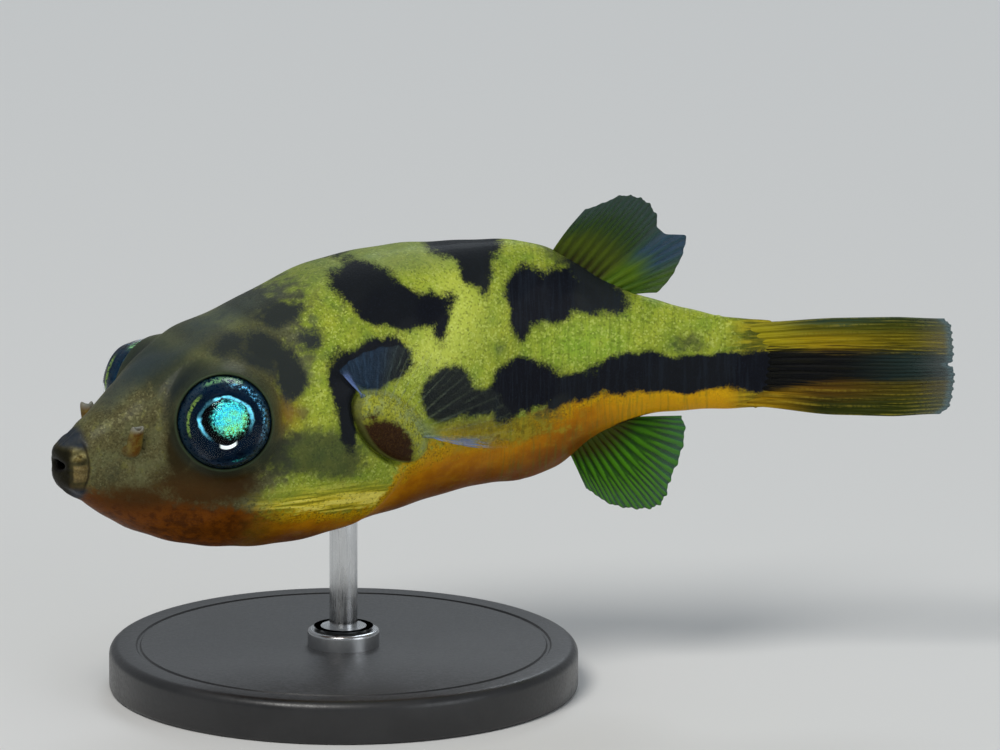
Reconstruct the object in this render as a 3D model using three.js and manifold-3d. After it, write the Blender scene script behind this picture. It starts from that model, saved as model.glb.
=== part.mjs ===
// Freshwater puffer: an adult dwarf puffer, Carinotetraodon travancoricus, as a life-size museum model
// on a small turned stand. Millimetres, +Z up. The head points to -X and is turned a little to the
// fish's own left (-Y). The origin is the centre of the stand's underside.
import * as THREE from 'three';
import { mergeVertices } from 'three/addons/utils/BufferGeometryUtils.js';
import Module from 'manifold-3d';

const wasm = await Module();
wasm.setup();

// ---- Driving dimensions -------------------------------------------------------------------------
const bodyLength = 23.1;         // snout tip to the root of the tail fin, along the spine
const headTurn = 27;             // degrees by which head and shoulders are turned to the left
const turnFrom = 6;              // the turn eases out between these two stations of the spine
const turnTo = 20;
const axisHeight = 9.9;          // the level line of the fish above the table
const cut = 0.12;                // the thin cuts between neighbouring pieces of flesh
const headEnd = 9.1;             // station of the cut behind the gill cover
const trunkEnd = 17.4;           // station of the cut through the narrow of the tail

const eye = { at: 4.7, out: 2.66, up: 0.03, radius: 1.5, forward: 25, raised: 8 };
const orbit = { rim: 1.6, rise: 0.4, skirt: 1.84, drop: 1.2 };
const nostril = { at: 2.05, up: -0.6, radius: 0.19, height: 0.9 };
const lips = { at: 0.4, up: -1.44, radius: 0.66, thickness: 0.25 };
const mouth = { wide: 0.84, high: 0.94, deep: 1.5 };
const beak = { wide: 0.6, tall: 0.48, thick: 0.16, at: 0.42, parted: 0.24 };
const gill = { at: 8.92, up: -0.5, tall: 2.4, wide: 0.28, deep: 0.6 };
const pectoral = { at: 10.85, up: -0.2, rootLong: 3.3, slope: -34, spread: 42 };
const lobe = { at: 10.7, up: -0.62, long: 3.3, tall: 1.9, proud: 0.5, slope: -38 };
const vent = { at: 16.1, up: -2.98, long: 1.1, radius: 0.4 };
const stand = {
  station: 10.2,                 // the rod enters the belly under this station of the spine
  radius: 7.5,
  thickness: 1.4,
  bevel: 0.3,
  rodRadius: 0.45,
  grip: 1.5,                     // how far the rod goes into the belly
};
const clearance = 0.06;          // round the rod and the beak plates where they sit in the flesh

// The body's sections: crown and keel above or below the level line, half the width, the height of
// the widest point as a share of the section, and how square the section is (2 is an ellipse).
const sections = [
  { at: 0.0, top: -0.95, bottom: -1.95, half: 0.42, waist: 0.5, square: 2.0 },
  { at: 0.4, top: -0.68, bottom: -2.24, half: 0.68, waist: 0.5, square: 2.0 },
  { at: 0.8, top: -0.3, bottom: -2.64, half: 0.92, waist: 0.5, square: 2.1 },
  { at: 1.4, top: 0.12, bottom: -3.1, half: 1.14, waist: 0.48, square: 2.15 },
  { at: 2.4, top: 0.98, bottom: -3.76, half: 1.72, waist: 0.47, square: 2.2 },
  { at: 3.6, top: 1.78, bottom: -4.26, half: 2.35, waist: 0.47, square: 2.25 },
  { at: 5.0, top: 2.54, bottom: -4.6, half: 2.88, waist: 0.46, square: 2.25 },
  { at: 7.0, top: 3.22, bottom: -4.82, half: 3.25, waist: 0.45, square: 2.15 },
  { at: 9.0, top: 4.04, bottom: -4.68, half: 3.38, waist: 0.45, square: 2.1 },
  { at: 11.5, top: 4.46, bottom: -4.14, half: 3.2, waist: 0.46, square: 2.05 },
  { at: 14.0, top: 4.52, bottom: -3.62, half: 2.65, waist: 0.48, square: 2.0 },
  { at: 15.8, top: 4.46, bottom: -3.3, half: 2.08, waist: 0.5, square: 2.0 },
  { at: 17.0, top: 4.1, bottom: -2.96, half: 1.75, waist: 0.5, square: 2.0 },
  { at: 18.2, top: 3.4, bottom: -2.07, half: 1.45, waist: 0.5, square: 2.0 },
  { at: 19.8, top: 2.64, bottom: -1.38, half: 1.06, waist: 0.5, square: 2.0 },
  { at: 21.5, top: 2.17, bottom: -1.12, half: 0.72, waist: 0.5, square: 2.0 },
  { at: 23.1, top: 1.84, bottom: -1.1, half: 0.42, waist: 0.5, square: 2.0 },
];

const colours = {
  head: 0x6b6a35,
  trunk: 0x8f9a2f,
  tail: 0x9a9b35,
  fin: 0x7f8a2c,
  tailFin: 0x77702a,
  eye: 0x0d2233,
  beak: 0xd8d2b4,
  base: 0x17181a,
  steel: 0xb9bcc0,
};

// ---- Frames and small helpers -------------------------------------------------------------------
const radians = THREE.MathUtils.degToRad;
const { clamp, lerp, smoothstep } = THREE.MathUtils;

/** The spine's heading at a station: the angle of the tailward direction from +X. */
function heading(s) {
  return radians(headTurn) * (1 - smoothstep(s, turnFrom, turnTo));
}

const spineStep = 0.1;
const spine = [new THREE.Vector3(0, 0, 0)];
for (let i = 0; i * spineStep < bodyLength; i += 1) {
  const angle = heading((i + 0.5) * spineStep);
  const step = new THREE.Vector3(Math.cos(angle), Math.sin(angle), 0).multiplyScalar(spineStep);
  spine.push(spine[i].clone().add(step));
}

/** A point of the spine before the fish is set over its stand. */
function spinePoint(s) {
  const place = clamp(s / spineStep, 0, spine.length - 1.001);
  const i = Math.floor(place);
  return spine[i].clone().lerp(spine[i + 1], place - i);
}

const rodFoot = spinePoint(stand.station);

/** Directions at a station: along to the tail, out to the fish's left, and up. */
function directions(s) {
  const angle = heading(s);
  return {
    along: new THREE.Vector3(Math.cos(angle), Math.sin(angle), 0),
    out: new THREE.Vector3(Math.sin(angle), -Math.cos(angle), 0),
    up: new THREE.Vector3(0, 0, 1),
  };
}

/** A point in the model's frame from its station, its distance out to the left and its height. */
function fishPoint(s, out, up) {
  const point = spinePoint(s).sub(rodFoot);
  point.addScaledVector(directions(s).out, out);
  point.z += axisHeight + up;
  return point;
}

/** Smooth value of one column of a table at a station, through the rows of the table. */
function along(rows, key, s) {
  let i = 1;
  while (i < rows.length - 1 && rows[i].at < s) i += 1;
  const slope = (k) => {
    const before = rows[Math.max(k - 1, 0)];
    const after = rows[Math.min(k + 1, rows.length - 1)];
    return (after[key] - before[key]) / (after.at - before.at);
  };
  const [a, b] = [rows[i - 1], rows[i]];
  const span = b.at - a.at;
  const t = clamp((s - a.at) / span, 0, 1);
  const ease = t * t * (3 - 2 * t);
  const leave = t * (1 - t) * (1 - t) * span * slope(i - 1);
  const arrive = t * t * (t - 1) * span * slope(i);
  return lerp(a[key], b[key], ease) + leave + arrive;
}

/** A point on the skin at a station and an angle round the section, swollen outward by a margin. */
function skinPoint(s, angle, swell = 0) {
  const value = (key) => along(sections, key, s);
  const middle = lerp(value('bottom'), value('top'), value('waist'));
  const power = 2 / value('square');
  const [c, d] = [Math.cos(angle), Math.sin(angle)];
  const reach = (d > 0 ? value('top') - middle : middle - value('bottom')) + swell;
  const out = Math.sign(c) * Math.abs(c) ** power * (value('half') + swell);
  const up = middle + Math.sign(d) * Math.abs(d) ** power * reach;
  return fishPoint(s, out, up);
}

/** How far out the skin lies at a station and a height. */
function skinOut(s, up) {
  const value = (key) => along(sections, key, s);
  const middle = lerp(value('bottom'), value('top'), value('waist'));
  const reach = up > middle ? value('top') - middle : middle - value('bottom');
  const share = clamp(Math.abs(up - middle) / reach, 0, 1);
  return value('half') * (1 - share ** value('square')) ** (1 / value('square'));
}

/** A closed geometry from a grid of points that is a tube with its two ends capped by a fan. */
function tube(rings) {
  const around = rings[0].length;
  const points = rings.flat();
  const faces = [];
  for (let r = 0; r + 1 < rings.length; r += 1) {
    for (let k = 0; k < around; k += 1) {
      const a = r * around + k;
      const b = r * around + (k + 1) % around;
      faces.push(a, b, a + around, b, b + around, a + around);
    }
  }
  for (const [ring, first] of [[rings[0], 0], [rings.at(-1), (rings.length - 1) * around]]) {
    const centre = points.length;
    points.push(ring.reduce((sum, p) => sum.add(p), new THREE.Vector3()).divideScalar(around));
    for (let k = 0; k < around; k += 1) {
      const [a, b] = [first + k, first + (k + 1) % around];
      faces.push(...(first === 0 ? [centre, b, a] : [centre, a, b]));
    }
  }
  const geometry = new THREE.BufferGeometry().setFromPoints(points);
  geometry.setIndex(faces);
  return geometry;
}

/** A manifold solid from a three.js geometry, turned outside out where its faces point inward. */
function solid(geometry) {
  let bare = geometry.clone();
  bare.deleteAttribute('normal');
  bare.deleteAttribute('uv');
  bare = mergeVertices(bare, 1e-4);
  const numbers = (attribute, Type) => Type.from(attribute.array);
  const build = (triVerts) => new wasm.Manifold(new wasm.Mesh({
    numProp: 3,
    vertProperties: numbers(bare.getAttribute('position'), Float32Array),
    triVerts,
  }));
  const faces = numbers(bare.getIndex(), Uint32Array);
  const body = build(faces);
  return body.volume() > 0 ? body : build(faces.reverse());
}

/** A named mesh from a manifold solid. */
function piece(name, body, colour, roughness = 0.5, metalness = 0) {
  const mesh = body.getMesh();
  const geometry = new THREE.BufferGeometry();
  const positions = new Float32Array(mesh.numVert * 3);
  for (let v = 0; v < mesh.numVert; v += 1) {
    for (let c = 0; c < 3; c += 1) positions[v * 3 + c] = mesh.vertProperties[v * mesh.numProp + c];
  }
  geometry.setAttribute('position', new THREE.BufferAttribute(positions, 3));
  geometry.setIndex(new THREE.BufferAttribute(mesh.triVerts, 1));
  const material = new THREE.MeshStandardMaterial({ color: colour, roughness, metalness });
  const result = new THREE.Mesh(geometry, material);
  result.name = name;
  return result;
}

/** A three.js geometry placed at a point with its local X, Y and Z along three directions. */
function placed(geometry, point, x, y, z) {
  const matrix = new THREE.Matrix4().makeBasis(x, y, z).setPosition(point);
  return geometry.applyMatrix4(matrix);
}

/** An ellipsoid at a station, its radii along the spine, out to the side and up. */
function ellipsoid(s, out, up, radii) {
  const { along: x, out: y, up: z } = directions(s);
  const ball = new THREE.SphereGeometry(1, 12, 8);
  ball.applyMatrix4(new THREE.Matrix4().makeScale(...radii));
  return solid(placed(ball, fishPoint(s, out, up), x, y.clone().negate(), z));
}

// ---- Flesh --------------------------------------------------------------------------------------
const around = 28;

/** A length of the body between two stations, as one closed loft. */
function flesh(from, to, count, swell = 0, crowd = 1) {
  const rings = [];
  for (let i = 0; i <= count; i += 1) {
    const s = from + (to - from) * (i / count) ** crowd;
    const ring = [];
    for (let k = 0; k < around; k += 1) ring.push(skinPoint(s, (k / around) * 2 * Math.PI, swell));
    rings.push(ring);
  }
  return solid(tube(rings));
}

/** A geometry whose local Z is an axis of sight, set round the centre of one eye. */
function aroundEye(side, geometry) {
  const { along: back, out, up } = directions(eye.at);
  const [yaw, pitch] = [radians(eye.forward), radians(eye.raised)];
  const sight = out.multiplyScalar(side * Math.cos(yaw) * Math.cos(pitch))
    .addScaledVector(back, -Math.sin(yaw) * Math.cos(pitch))
    .addScaledVector(up, Math.sin(pitch));
  const level = up.clone().cross(sight).normalize();
  const centre = fishPoint(eye.at, side * eye.out, eye.up);
  return solid(placed(geometry, centre, level, sight.clone().cross(level), sight));
}

/** The ball of one eye, or its socket when a margin is given. */
function eyeBall(side, margin = 0) {
  const ball = new THREE.SphereGeometry(eye.radius + margin, 20, 12);
  return aroundEye(side, ball.rotateX(Math.PI / 2));
}

/** The low mound of skin that holds one eye, its rim close round the ball. */
function eyeMound(side) {
  const { rim, rise, skirt, drop } = orbit;
  const profile = [
    [0, -drop],
    [skirt, -drop],
    [skirt, -rise],
    [rim + 0.1, rise * 0.5],
    [rim, rise],
    [0, rise],
  ];
  const mound = new THREE.LatheGeometry(profile.map(([r, z]) => new THREE.Vector2(r, z)), 24);
  return aroundEye(side, mound.rotateX(Math.PI / 2));
}

/** One nostril's little upright tube with its forked tip. */
function nostrilTube(side) {
  const out = skinOut(nostril.at, nostril.up) - 0.1;
  const foot = fishPoint(nostril.at, side * out, nostril.up - 0.1);
  const { along: back, out: left, up } = directions(nostril.at);
  const axis = up.clone().addScaledVector(left, side * 0.42).addScaledVector(back, -0.12).normalize();
  const x = back.clone().addScaledVector(axis, -back.dot(axis)).normalize();
  const stem = new THREE.CylinderGeometry(nostril.radius * 0.8, nostril.radius * 1.25, nostril.height, 8);
  stem.rotateX(Math.PI / 2);
  stem.translate(0, 0, nostril.height / 2);
  let body = solid(placed(stem, foot, x, axis.clone().cross(x), axis));
  for (const fork of [-1, 1]) {
    const tip = new THREE.SphereGeometry(nostril.radius * 0.75, 7, 5);
    const place = foot.clone().addScaledVector(axis, nostril.height).addScaledVector(x, fork * 0.11);
    body = body.add(solid(tip.translate(place.x, place.y, place.z)));
  }
  return body;
}

/** The thick ring of the lips. */
function lipRing() {
  const ring = new THREE.TorusGeometry(lips.radius, lips.thickness, 8, 22);
  ring.scale(0.92, 1.08, 1);
  const { along: back, out, up } = directions(lips.at);
  return solid(placed(ring, fishPoint(lips.at, 0, lips.up), out, up, back.clone().negate()));
}

/** An upright arch of beak, its bow to the front, of a given height round a given level. */
function beakArch(level, tall, margin = 0) {
  const arch = new THREE.Shape();
  arch.absarc(0, 0, beak.wide / 2 + margin, 0, Math.PI, false);
  arch.absarc(0, 0, beak.wide / 2 - beak.thick - margin, Math.PI, 0, true);
  const depth = tall + 2 * margin;
  const bow = new THREE.ExtrudeGeometry(arch, { depth, bevelEnabled: false, curveSegments: 8 });
  const { along: back, out, up } = directions(beak.at);
  const place = fishPoint(beak.at + beak.wide / 2, 0, level - depth / 2);
  return solid(placed(bow, place, out.negate(), back.negate(), up));
}

/** The upper or lower beak plate. */
function beakPlate(side) {
  return beakArch(lips.up + side * (beak.parted + beak.tall) / 2, beak.tall);
}

/** The slit of one gill opening. */
function gillSlit(side) {
  const out = skinOut(gill.at, gill.up);
  return ellipsoid(gill.at, side * out, gill.up, [gill.wide / 2, gill.deep, gill.tall / 2]);
}

/** The rod of the stand, or the bore it sits in when a margin is given. */
function rod(margin = 0) {
  const bottom = stand.thickness * 0.4;
  const keel = axisHeight + along(sections, 'bottom', stand.station);
  const length = keel + stand.grip - bottom;
  const bar = new THREE.CylinderGeometry(
    stand.rodRadius + margin, stand.rodRadius + margin, length + 2 * margin, 24);
  bar.rotateX(Math.PI / 2);
  bar.translate(0, 0, bottom + length / 2);
  return solid(bar);
}

function head() {
  let body = flesh(0, headEnd - cut / 2, 18, 0, 1.25);
  body = body.add(lipRing());
  for (const side of [-1, 1]) body = body.add(eyeMound(side)).add(nostrilTube(side));
  for (const side of [-1, 1]) {
    body = body.subtract(eyeBall(side, cut / 2)).subtract(gillSlit(side));
  }
  body = body.subtract(beakArch(lips.up, beak.parted + 2 * beak.tall, clearance));
  return body.subtract(ellipsoid(0, 0, lips.up, [mouth.deep / 2, mouth.wide / 2, mouth.high / 2]));
}

/** The fleshy lobe at the root of one pectoral fin, just behind the gill opening. */
function pectoralLobe(side, swell = 0) {
  const shape = new THREE.SphereGeometry(1, 12, 8);
  const radii = [lobe.long / 2 + swell, lobe.proud + swell, lobe.tall / 2 + swell];
  shape.applyMatrix4(new THREE.Matrix4().makeScale(...radii));
  shape.rotateY(-radians(lobe.slope));
  const { along: back, out, up } = directions(lobe.at);
  const place = fishPoint(lobe.at, side * (skinOut(lobe.at, lobe.up) - 0.08), lobe.up);
  return solid(placed(shape, place, back, out.negate(), up));
}

function trunk() {
  let body = flesh(headEnd + cut / 2, trunkEnd - cut / 2, 13);
  body = body.add(ellipsoid(vent.at, 0, vent.up, [vent.long / 2, vent.radius, vent.radius]));
  for (const side of [-1, 1]) body = body.add(pectoralLobe(side));
  return body.subtract(rod(clearance));
}

function tail() {
  return flesh(trunkEnd + cut / 2, bodyLength, 9);
}

/** The whole body with a margin all round, to trim whatever grows from it. */
const bodyWithMargin = flesh(8, bodyLength + cut, 27, cut)
  .add(pectoralLobe(-1, cut))
  .add(pectoralLobe(1, cut));

// ---- Fins ---------------------------------------------------------------------------------------
// A fin is a fan of rays. Each ray has a share of the way along the fin's root, an angle in the fin's
// own plane and a length; the web between them is a thin plate, thicker at its fleshy root.
const finTip = 0.5;
const finRoot = 0.8;
const finSink = 0.9;             // how far the plate is carried inward before the body trims it

function fan(frame, root, rays, bulge = 0) {
  const [columns, rows] = [12, 4];
  const direction = (angle) => frame.x.clone().multiplyScalar(Math.cos(angle))
    .addScaledVector(frame.y, Math.sin(angle));
  const sheet = (side) => {
    const grid = [];
    for (let i = 0; i <= columns; i += 1) {
      const u = i / columns;
      const ray = direction(radians(along(rays, 'angle', u)));
      const length = along(rays, 'length', u);
      const foot = frame.place(lerp(root[0][0], root[1][0], u), lerp(root[0][1], root[1][1], u));
      for (let j = 0; j <= rows; j += 1) {
        const v = j / rows;
        const point = foot.clone().addScaledVector(ray, v * (length + finSink) - finSink);
        point.addScaledVector(frame.y, bulge * Math.sin(Math.PI * v) * (1 - 2 * u));
        const thickness = lerp(finRoot, finTip, Math.sqrt(v));
        grid.push(point.addScaledVector(frame.normal, (side * thickness) / 2));
      }
    }
    return grid;
  };
  const points = [...sheet(1), ...sheet(-1)];
  const size = (columns + 1) * (rows + 1);
  const at = (i, j, side) => i * (rows + 1) + j + (side > 0 ? 0 : size);
  const faces = [];
  const quad = (a, b, c, d) => faces.push(a, b, c, a, c, d);
  for (let i = 0; i < columns; i += 1) {
    for (let j = 0; j < rows; j += 1) {
      quad(at(i, j, 1), at(i + 1, j, 1), at(i + 1, j + 1, 1), at(i, j + 1, 1));
      quad(at(i, j, -1), at(i, j + 1, -1), at(i + 1, j + 1, -1), at(i + 1, j, -1));
    }
    quad(at(i, 0, -1), at(i + 1, 0, -1), at(i + 1, 0, 1), at(i, 0, 1));
    quad(at(i, rows, 1), at(i + 1, rows, 1), at(i + 1, rows, -1), at(i, rows, -1));
  }
  for (let j = 0; j < rows; j += 1) {
    quad(at(0, j, 1), at(0, j + 1, 1), at(0, j + 1, -1), at(0, j, -1));
    quad(at(columns, j, -1), at(columns, j + 1, -1), at(columns, j + 1, 1), at(columns, j, 1));
  }
  const geometry = new THREE.BufferGeometry().setFromPoints(points);
  geometry.setIndex(faces);
  return solid(geometry).subtract(bodyWithMargin);
}

/** The upright middle plane of the rear body: x from the snout tip, y the height. */
const middlePlane = {
  x: new THREE.Vector3(1, 0, 0),
  y: new THREE.Vector3(0, 0, 1),
  normal: new THREE.Vector3(0, -1, 0),
  place: (x, up) => new THREE.Vector3(x - rodFoot.x, spinePoint(bodyLength).y - rodFoot.y, axisHeight + up),
};

function dorsalFin() {
  return fan(middlePlane, [[15.75, 4.0], [17.95, 2.85]], [
    { at: 0, angle: 55, length: 2.2 },
    { at: 0.25, angle: 51, length: 2.85 },
    { at: 0.5, angle: 42, length: 3.15 },
    { at: 0.75, angle: 26, length: 3.0 },
    { at: 1, angle: 12, length: 1.6 },
  ]);
}

function analFin() {
  return fan(middlePlane, [[16.45, -2.75], [18.65, -1.35]], [
    { at: 0, angle: -56, length: 1.7 },
    { at: 0.25, angle: -60, length: 2.3 },
    { at: 0.5, angle: -58, length: 2.75 },
    { at: 0.75, angle: -50, length: 2.45 },
    { at: 1, angle: -20, length: 1.5 },
  ]);
}

function caudalFin() {
  return fan(middlePlane, [[21.95, 1.66], [21.95, -0.96]], [
    { at: 0, angle: -1, length: 6.3 },
    { at: 0.12, angle: 0, length: 6.6 },
    { at: 0.5, angle: 0, length: 6.75 },
    { at: 0.88, angle: -1, length: 6.6 },
    { at: 1, angle: 0, length: 6.3 },
  ], 0.34);
}

function pectoralFin(side) {
  const { along: back, out, up } = directions(pectoral.at);
  const slope = radians(pectoral.slope);
  const root = back.clone().multiplyScalar(Math.cos(slope)).addScaledVector(up, Math.sin(slope));
  const across = back.clone().multiplyScalar(-Math.sin(slope)).addScaledVector(up, Math.cos(slope));
  const spread = radians(pectoral.spread);
  const ray = across.multiplyScalar(Math.cos(spread)).addScaledVector(out, side * Math.sin(spread));
  const centre = fishPoint(pectoral.at, side * skinOut(pectoral.at, pectoral.up), pectoral.up);
  const frame = {
    x: root,
    y: ray,
    normal: root.clone().cross(ray).normalize(),
    place: (x, y) => centre.clone().addScaledVector(root, x).addScaledVector(ray, y),
  };
  return fan(frame, [[-pectoral.rootLong / 2, 0], [pectoral.rootLong / 2, 0]], [
    { at: 0, angle: 145, length: 1.3 },
    { at: 0.25, angle: 120, length: 2.2 },
    { at: 0.5, angle: 98, length: 2.7 },
    { at: 0.75, angle: 74, length: 2.8 },
    { at: 1, angle: 34, length: 2.5 },
  ]);
}

// ---- Stand --------------------------------------------------------------------------------------
function turned(profile, segments) {
  const geometry = new THREE.LatheGeometry(profile.map(([r, z]) => new THREE.Vector2(r, z)), segments);
  return solid(geometry.rotateX(Math.PI / 2));
}

function standBase() {
  const { radius, thickness, bevel } = stand;
  return turned([
    [0, 0],
    [radius - bevel / 2, 0],
    [radius, bevel / 2],
    [radius, thickness - bevel],
    [radius - bevel, thickness],
    [0, thickness],
  ], 40).subtract(rod(clearance));
}

function standCollar() {
  const [inner, outer, tall] = [stand.rodRadius + clearance, 1.15, 0.5];
  const foot = stand.thickness + 0.02;
  return turned([
    [inner, foot],
    [outer, foot],
    [outer, foot + tall * 0.6],
    [outer - 0.2, foot + tall],
    [inner, foot + tall],
    [inner, foot],
  ], 24);
}

// ---- The model ----------------------------------------------------------------------------------
const puffer = new THREE.Group();
puffer.add(piece('head', head(), colours.head));
puffer.add(piece('trunk', trunk(), colours.trunk));
puffer.add(piece('tail', tail(), colours.tail));
puffer.add(piece('dorsal_fin', dorsalFin(), colours.fin));
puffer.add(piece('anal_fin', analFin(), colours.fin));
puffer.add(piece('caudal_fin', caudalFin(), colours.tailFin));
for (const [side, name] of [[1, 'left'], [-1, 'right']]) {
  puffer.add(piece(`pectoral_fin_${name}`, pectoralFin(side), colours.fin));
  puffer.add(piece(`eye_${name}`, eyeBall(side), colours.eye, 0.15));
}
puffer.add(piece('upper_beak', beakPlate(1), colours.beak, 0.35));
puffer.add(piece('lower_beak', beakPlate(-1), colours.beak, 0.35));
puffer.add(piece('stand_base', standBase(), colours.base, 0.35));
puffer.add(piece('stand_collar', standCollar(), colours.steel, 0.25, 1));
puffer.add(piece('stand_rod', rod(), colours.steel, 0.2, 1));

export default puffer;
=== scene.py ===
# A freshwater puffer as a life-size museum model: one painted skin over head, trunk and tail, clear
# fins on fine rays, glass eyes, and a small turned stand. Lengths are worked out in millimetres in the
# fish's own straight frame (station from the snout, out to a side, up) and laid on the bent spine.
import math

import bmesh
import bpy
import numpy as np
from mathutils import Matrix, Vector


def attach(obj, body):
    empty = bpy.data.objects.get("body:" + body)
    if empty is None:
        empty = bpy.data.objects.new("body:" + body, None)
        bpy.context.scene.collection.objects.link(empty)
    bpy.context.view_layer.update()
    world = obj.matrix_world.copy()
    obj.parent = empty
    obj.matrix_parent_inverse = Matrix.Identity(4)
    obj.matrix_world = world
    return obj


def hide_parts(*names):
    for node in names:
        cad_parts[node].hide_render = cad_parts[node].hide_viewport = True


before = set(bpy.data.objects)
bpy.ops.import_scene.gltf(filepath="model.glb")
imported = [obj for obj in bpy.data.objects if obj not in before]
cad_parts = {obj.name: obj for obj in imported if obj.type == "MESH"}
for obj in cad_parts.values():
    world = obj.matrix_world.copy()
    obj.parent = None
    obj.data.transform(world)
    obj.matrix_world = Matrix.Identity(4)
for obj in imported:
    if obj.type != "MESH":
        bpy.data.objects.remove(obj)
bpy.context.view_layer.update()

# ---- Skin ---------------------------------------------------------------------------------------
# The skin is one tough, scaleless hide from the lips to the root of the tail fin. It is cast in one
# piece with the eye sockets, the nostril tubes and the fleshy lobes of the pectoral fins.
MM = 0.001
BODY_LENGTH = 23.1
HEAD_TURN = math.radians(27)
TURN_FROM, TURN_TO = 6, 20
AXIS_HEIGHT = 9.9
ROD_STATION = 10.2

# station, crown, keel, half width, widest point's share of the height, squareness
SECTIONS = np.array([
    (0, -0.95, -1.95, 0.42, 0.5, 2),
    (0.4, -0.68, -2.24, 0.68, 0.5, 2),
    (0.8, -0.3, -2.64, 0.92, 0.5, 2.1),
    (1.4, 0.12, -3.1, 1.14, 0.48, 2.15),
    (2.4, 0.98, -3.76, 1.72, 0.47, 2.2),
    (3.6, 1.78, -4.26, 2.35, 0.47, 2.25),
    (5, 2.54, -4.6, 2.88, 0.46, 2.25),
    (7, 3.22, -4.82, 3.25, 0.45, 2.15),
    (9, 4.04, -4.68, 3.38, 0.45, 2.1),
    (11.5, 4.46, -4.14, 3.2, 0.46, 2.05),
    (14, 4.52, -3.62, 2.65, 0.48, 2),
    (15.8, 4.46, -3.3, 2.08, 0.5, 2),
    (17, 4.1, -2.96, 1.75, 0.5, 2),
    (18.2, 3.4, -2.07, 1.45, 0.5, 2),
    (19.8, 2.64, -1.38, 1.06, 0.5, 2),
    (21.5, 2.17, -1.12, 0.72, 0.5, 2),
    (23.1, 1.84, -1.1, 0.42, 0.5, 2),
])


def smooth_step(value, low, high):
    t = np.clip((np.asarray(value, float) - low) / (high - low), 0, 1)
    return t * t * (3 - 2 * t)


def through(rows, x):
    """Smooth values at x of a table whose first column rises, one output column for each of the rest."""
    rows = np.asarray(rows, float)
    at, values = rows[:, 0], rows[:, 1:]
    last = len(rows) - 1
    before, after = np.clip(np.arange(last + 1) - 1, 0, last), np.clip(np.arange(last + 1) + 1, 0, last)
    slope = (values[after] - values[before]) / (at[after] - at[before])[:, None]
    x = np.atleast_1d(np.asarray(x, float))
    i = np.clip(np.searchsorted(at, x, side="left"), 1, last)
    span = at[i] - at[i - 1]
    t = np.clip((x - at[i - 1]) / span, 0, 1)
    ease = (t * t * (3 - 2 * t))[:, None]
    leave = (t * (1 - t) ** 2 * span)[:, None] * slope[i - 1]
    arrive = (t * t * (t - 1) * span)[:, None] * slope[i]
    return values[i - 1] * (1 - ease) + values[i] * ease + leave + arrive


def section(s):
    crown, keel, half, waist, square = through(SECTIONS, s).T
    return crown, keel, half, keel + (crown - keel) * waist, square


def skin_out(s, up):
    """How far out the skin lies at a station and a height."""
    crown, keel, half, middle, square = section(s)
    reach = np.where(up > middle, crown - middle, middle - keel)
    share = np.clip(np.abs(up - middle) / reach, 0, 1)
    return half * (1 - share ** square) ** (1 / square)


def skin_ring(s, angles, shrink=1):
    """Points (station, out, up) round the body's section, the first one out to the left."""
    crown, keel, half, middle, square = (v[0] for v in section(s))
    cosine, sine = np.cos(angles), np.sin(angles)
    reach = np.where(sine > 0, crown - middle, middle - keel)
    out = np.sign(cosine) * np.abs(cosine) ** (2 / square) * half
    up = middle + np.sign(sine) * np.abs(sine) ** (2 / square) * reach * shrink
    return np.stack([np.full(len(angles), float(s)), out * shrink, up], 1)


SPINE_STEP = 0.1
spine_mid = (np.arange(int(BODY_LENGTH / SPINE_STEP)) + 0.5) * SPINE_STEP


def heading(s):
    return HEAD_TURN * (1 - smooth_step(s, TURN_FROM, TURN_TO))


spine_x = np.concatenate([[0], np.cumsum(np.cos(heading(spine_mid)) * SPINE_STEP)])
spine_y = np.concatenate([[0], np.cumsum(np.sin(heading(spine_mid)) * SPINE_STEP)])
spine_s = np.arange(len(spine_x)) * SPINE_STEP


def spine(s):
    """The spine's place, carried straight on past both of its ends."""
    inside = np.clip(s, 0, BODY_LENGTH)
    beyond = s - inside
    x = np.interp(inside, spine_s, spine_x) + beyond * np.cos(heading(inside))
    y = np.interp(inside, spine_s, spine_y) + beyond * np.sin(heading(inside))
    return x, y


rod_x, rod_y = (float(v) for v in spine(ROD_STATION))
tail_y = float(spine(BODY_LENGTH)[1])


def on_spine(points):
    """Points of the straight fish (station, out, up) laid on the bent spine over the stand, in metres."""
    s, out, up = np.asarray(points, float).reshape(-1, 3).T
    x, y = spine(s)
    turn = heading(s)
    return np.stack([
        x + np.sin(turn) * out - rod_x,
        y - np.cos(turn) * out - rod_y,
        AXIS_HEIGHT + up,
    ], 1) * MM


def key(point):
    return tuple(round(float(c), 5) for c in point)


def fish_to_edit(points):
    """The straight frame as drawn in edit mode: x is the station, y is to the fish's right, z is up."""
    return [Vector((p[0], -p[1], p[2])) for p in np.asarray(points, float)]


def new_piece(name, add, **sizes):
    """A primitive added as a piece of its own, with nothing else selected."""
    bpy.ops.object.select_all(action="DESELECT")
    add(**sizes)
    piece = bpy.context.object
    piece.name = name
    return piece


def edited():
    return bmesh.from_edit_mesh(bpy.context.edit_object.data)


def refresh():
    bmesh.update_edit_mesh(bpy.context.edit_object.data)


def pick(points):
    """Selects exactly the vertices at these points, and the edges and faces between them."""
    bm = edited()
    wanted = {key(p) for p in points}
    for v in bm.verts:
        v.select = key(v.co) in wanted
    bm.select_flush_mode()
    bm.select_flush(True)
    refresh()


def next_ring(old, new):
    """Extrudes the open rim that is selected, whose points are old, and moves its copy to new."""
    bpy.ops.mesh.extrude_edges_move()
    moved = {key(p): q for p, q in zip(old, new)}
    for v in edited().verts:
        if v.select:
            v.co = moved[key(v.co)]
    refresh()
    return new


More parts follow.
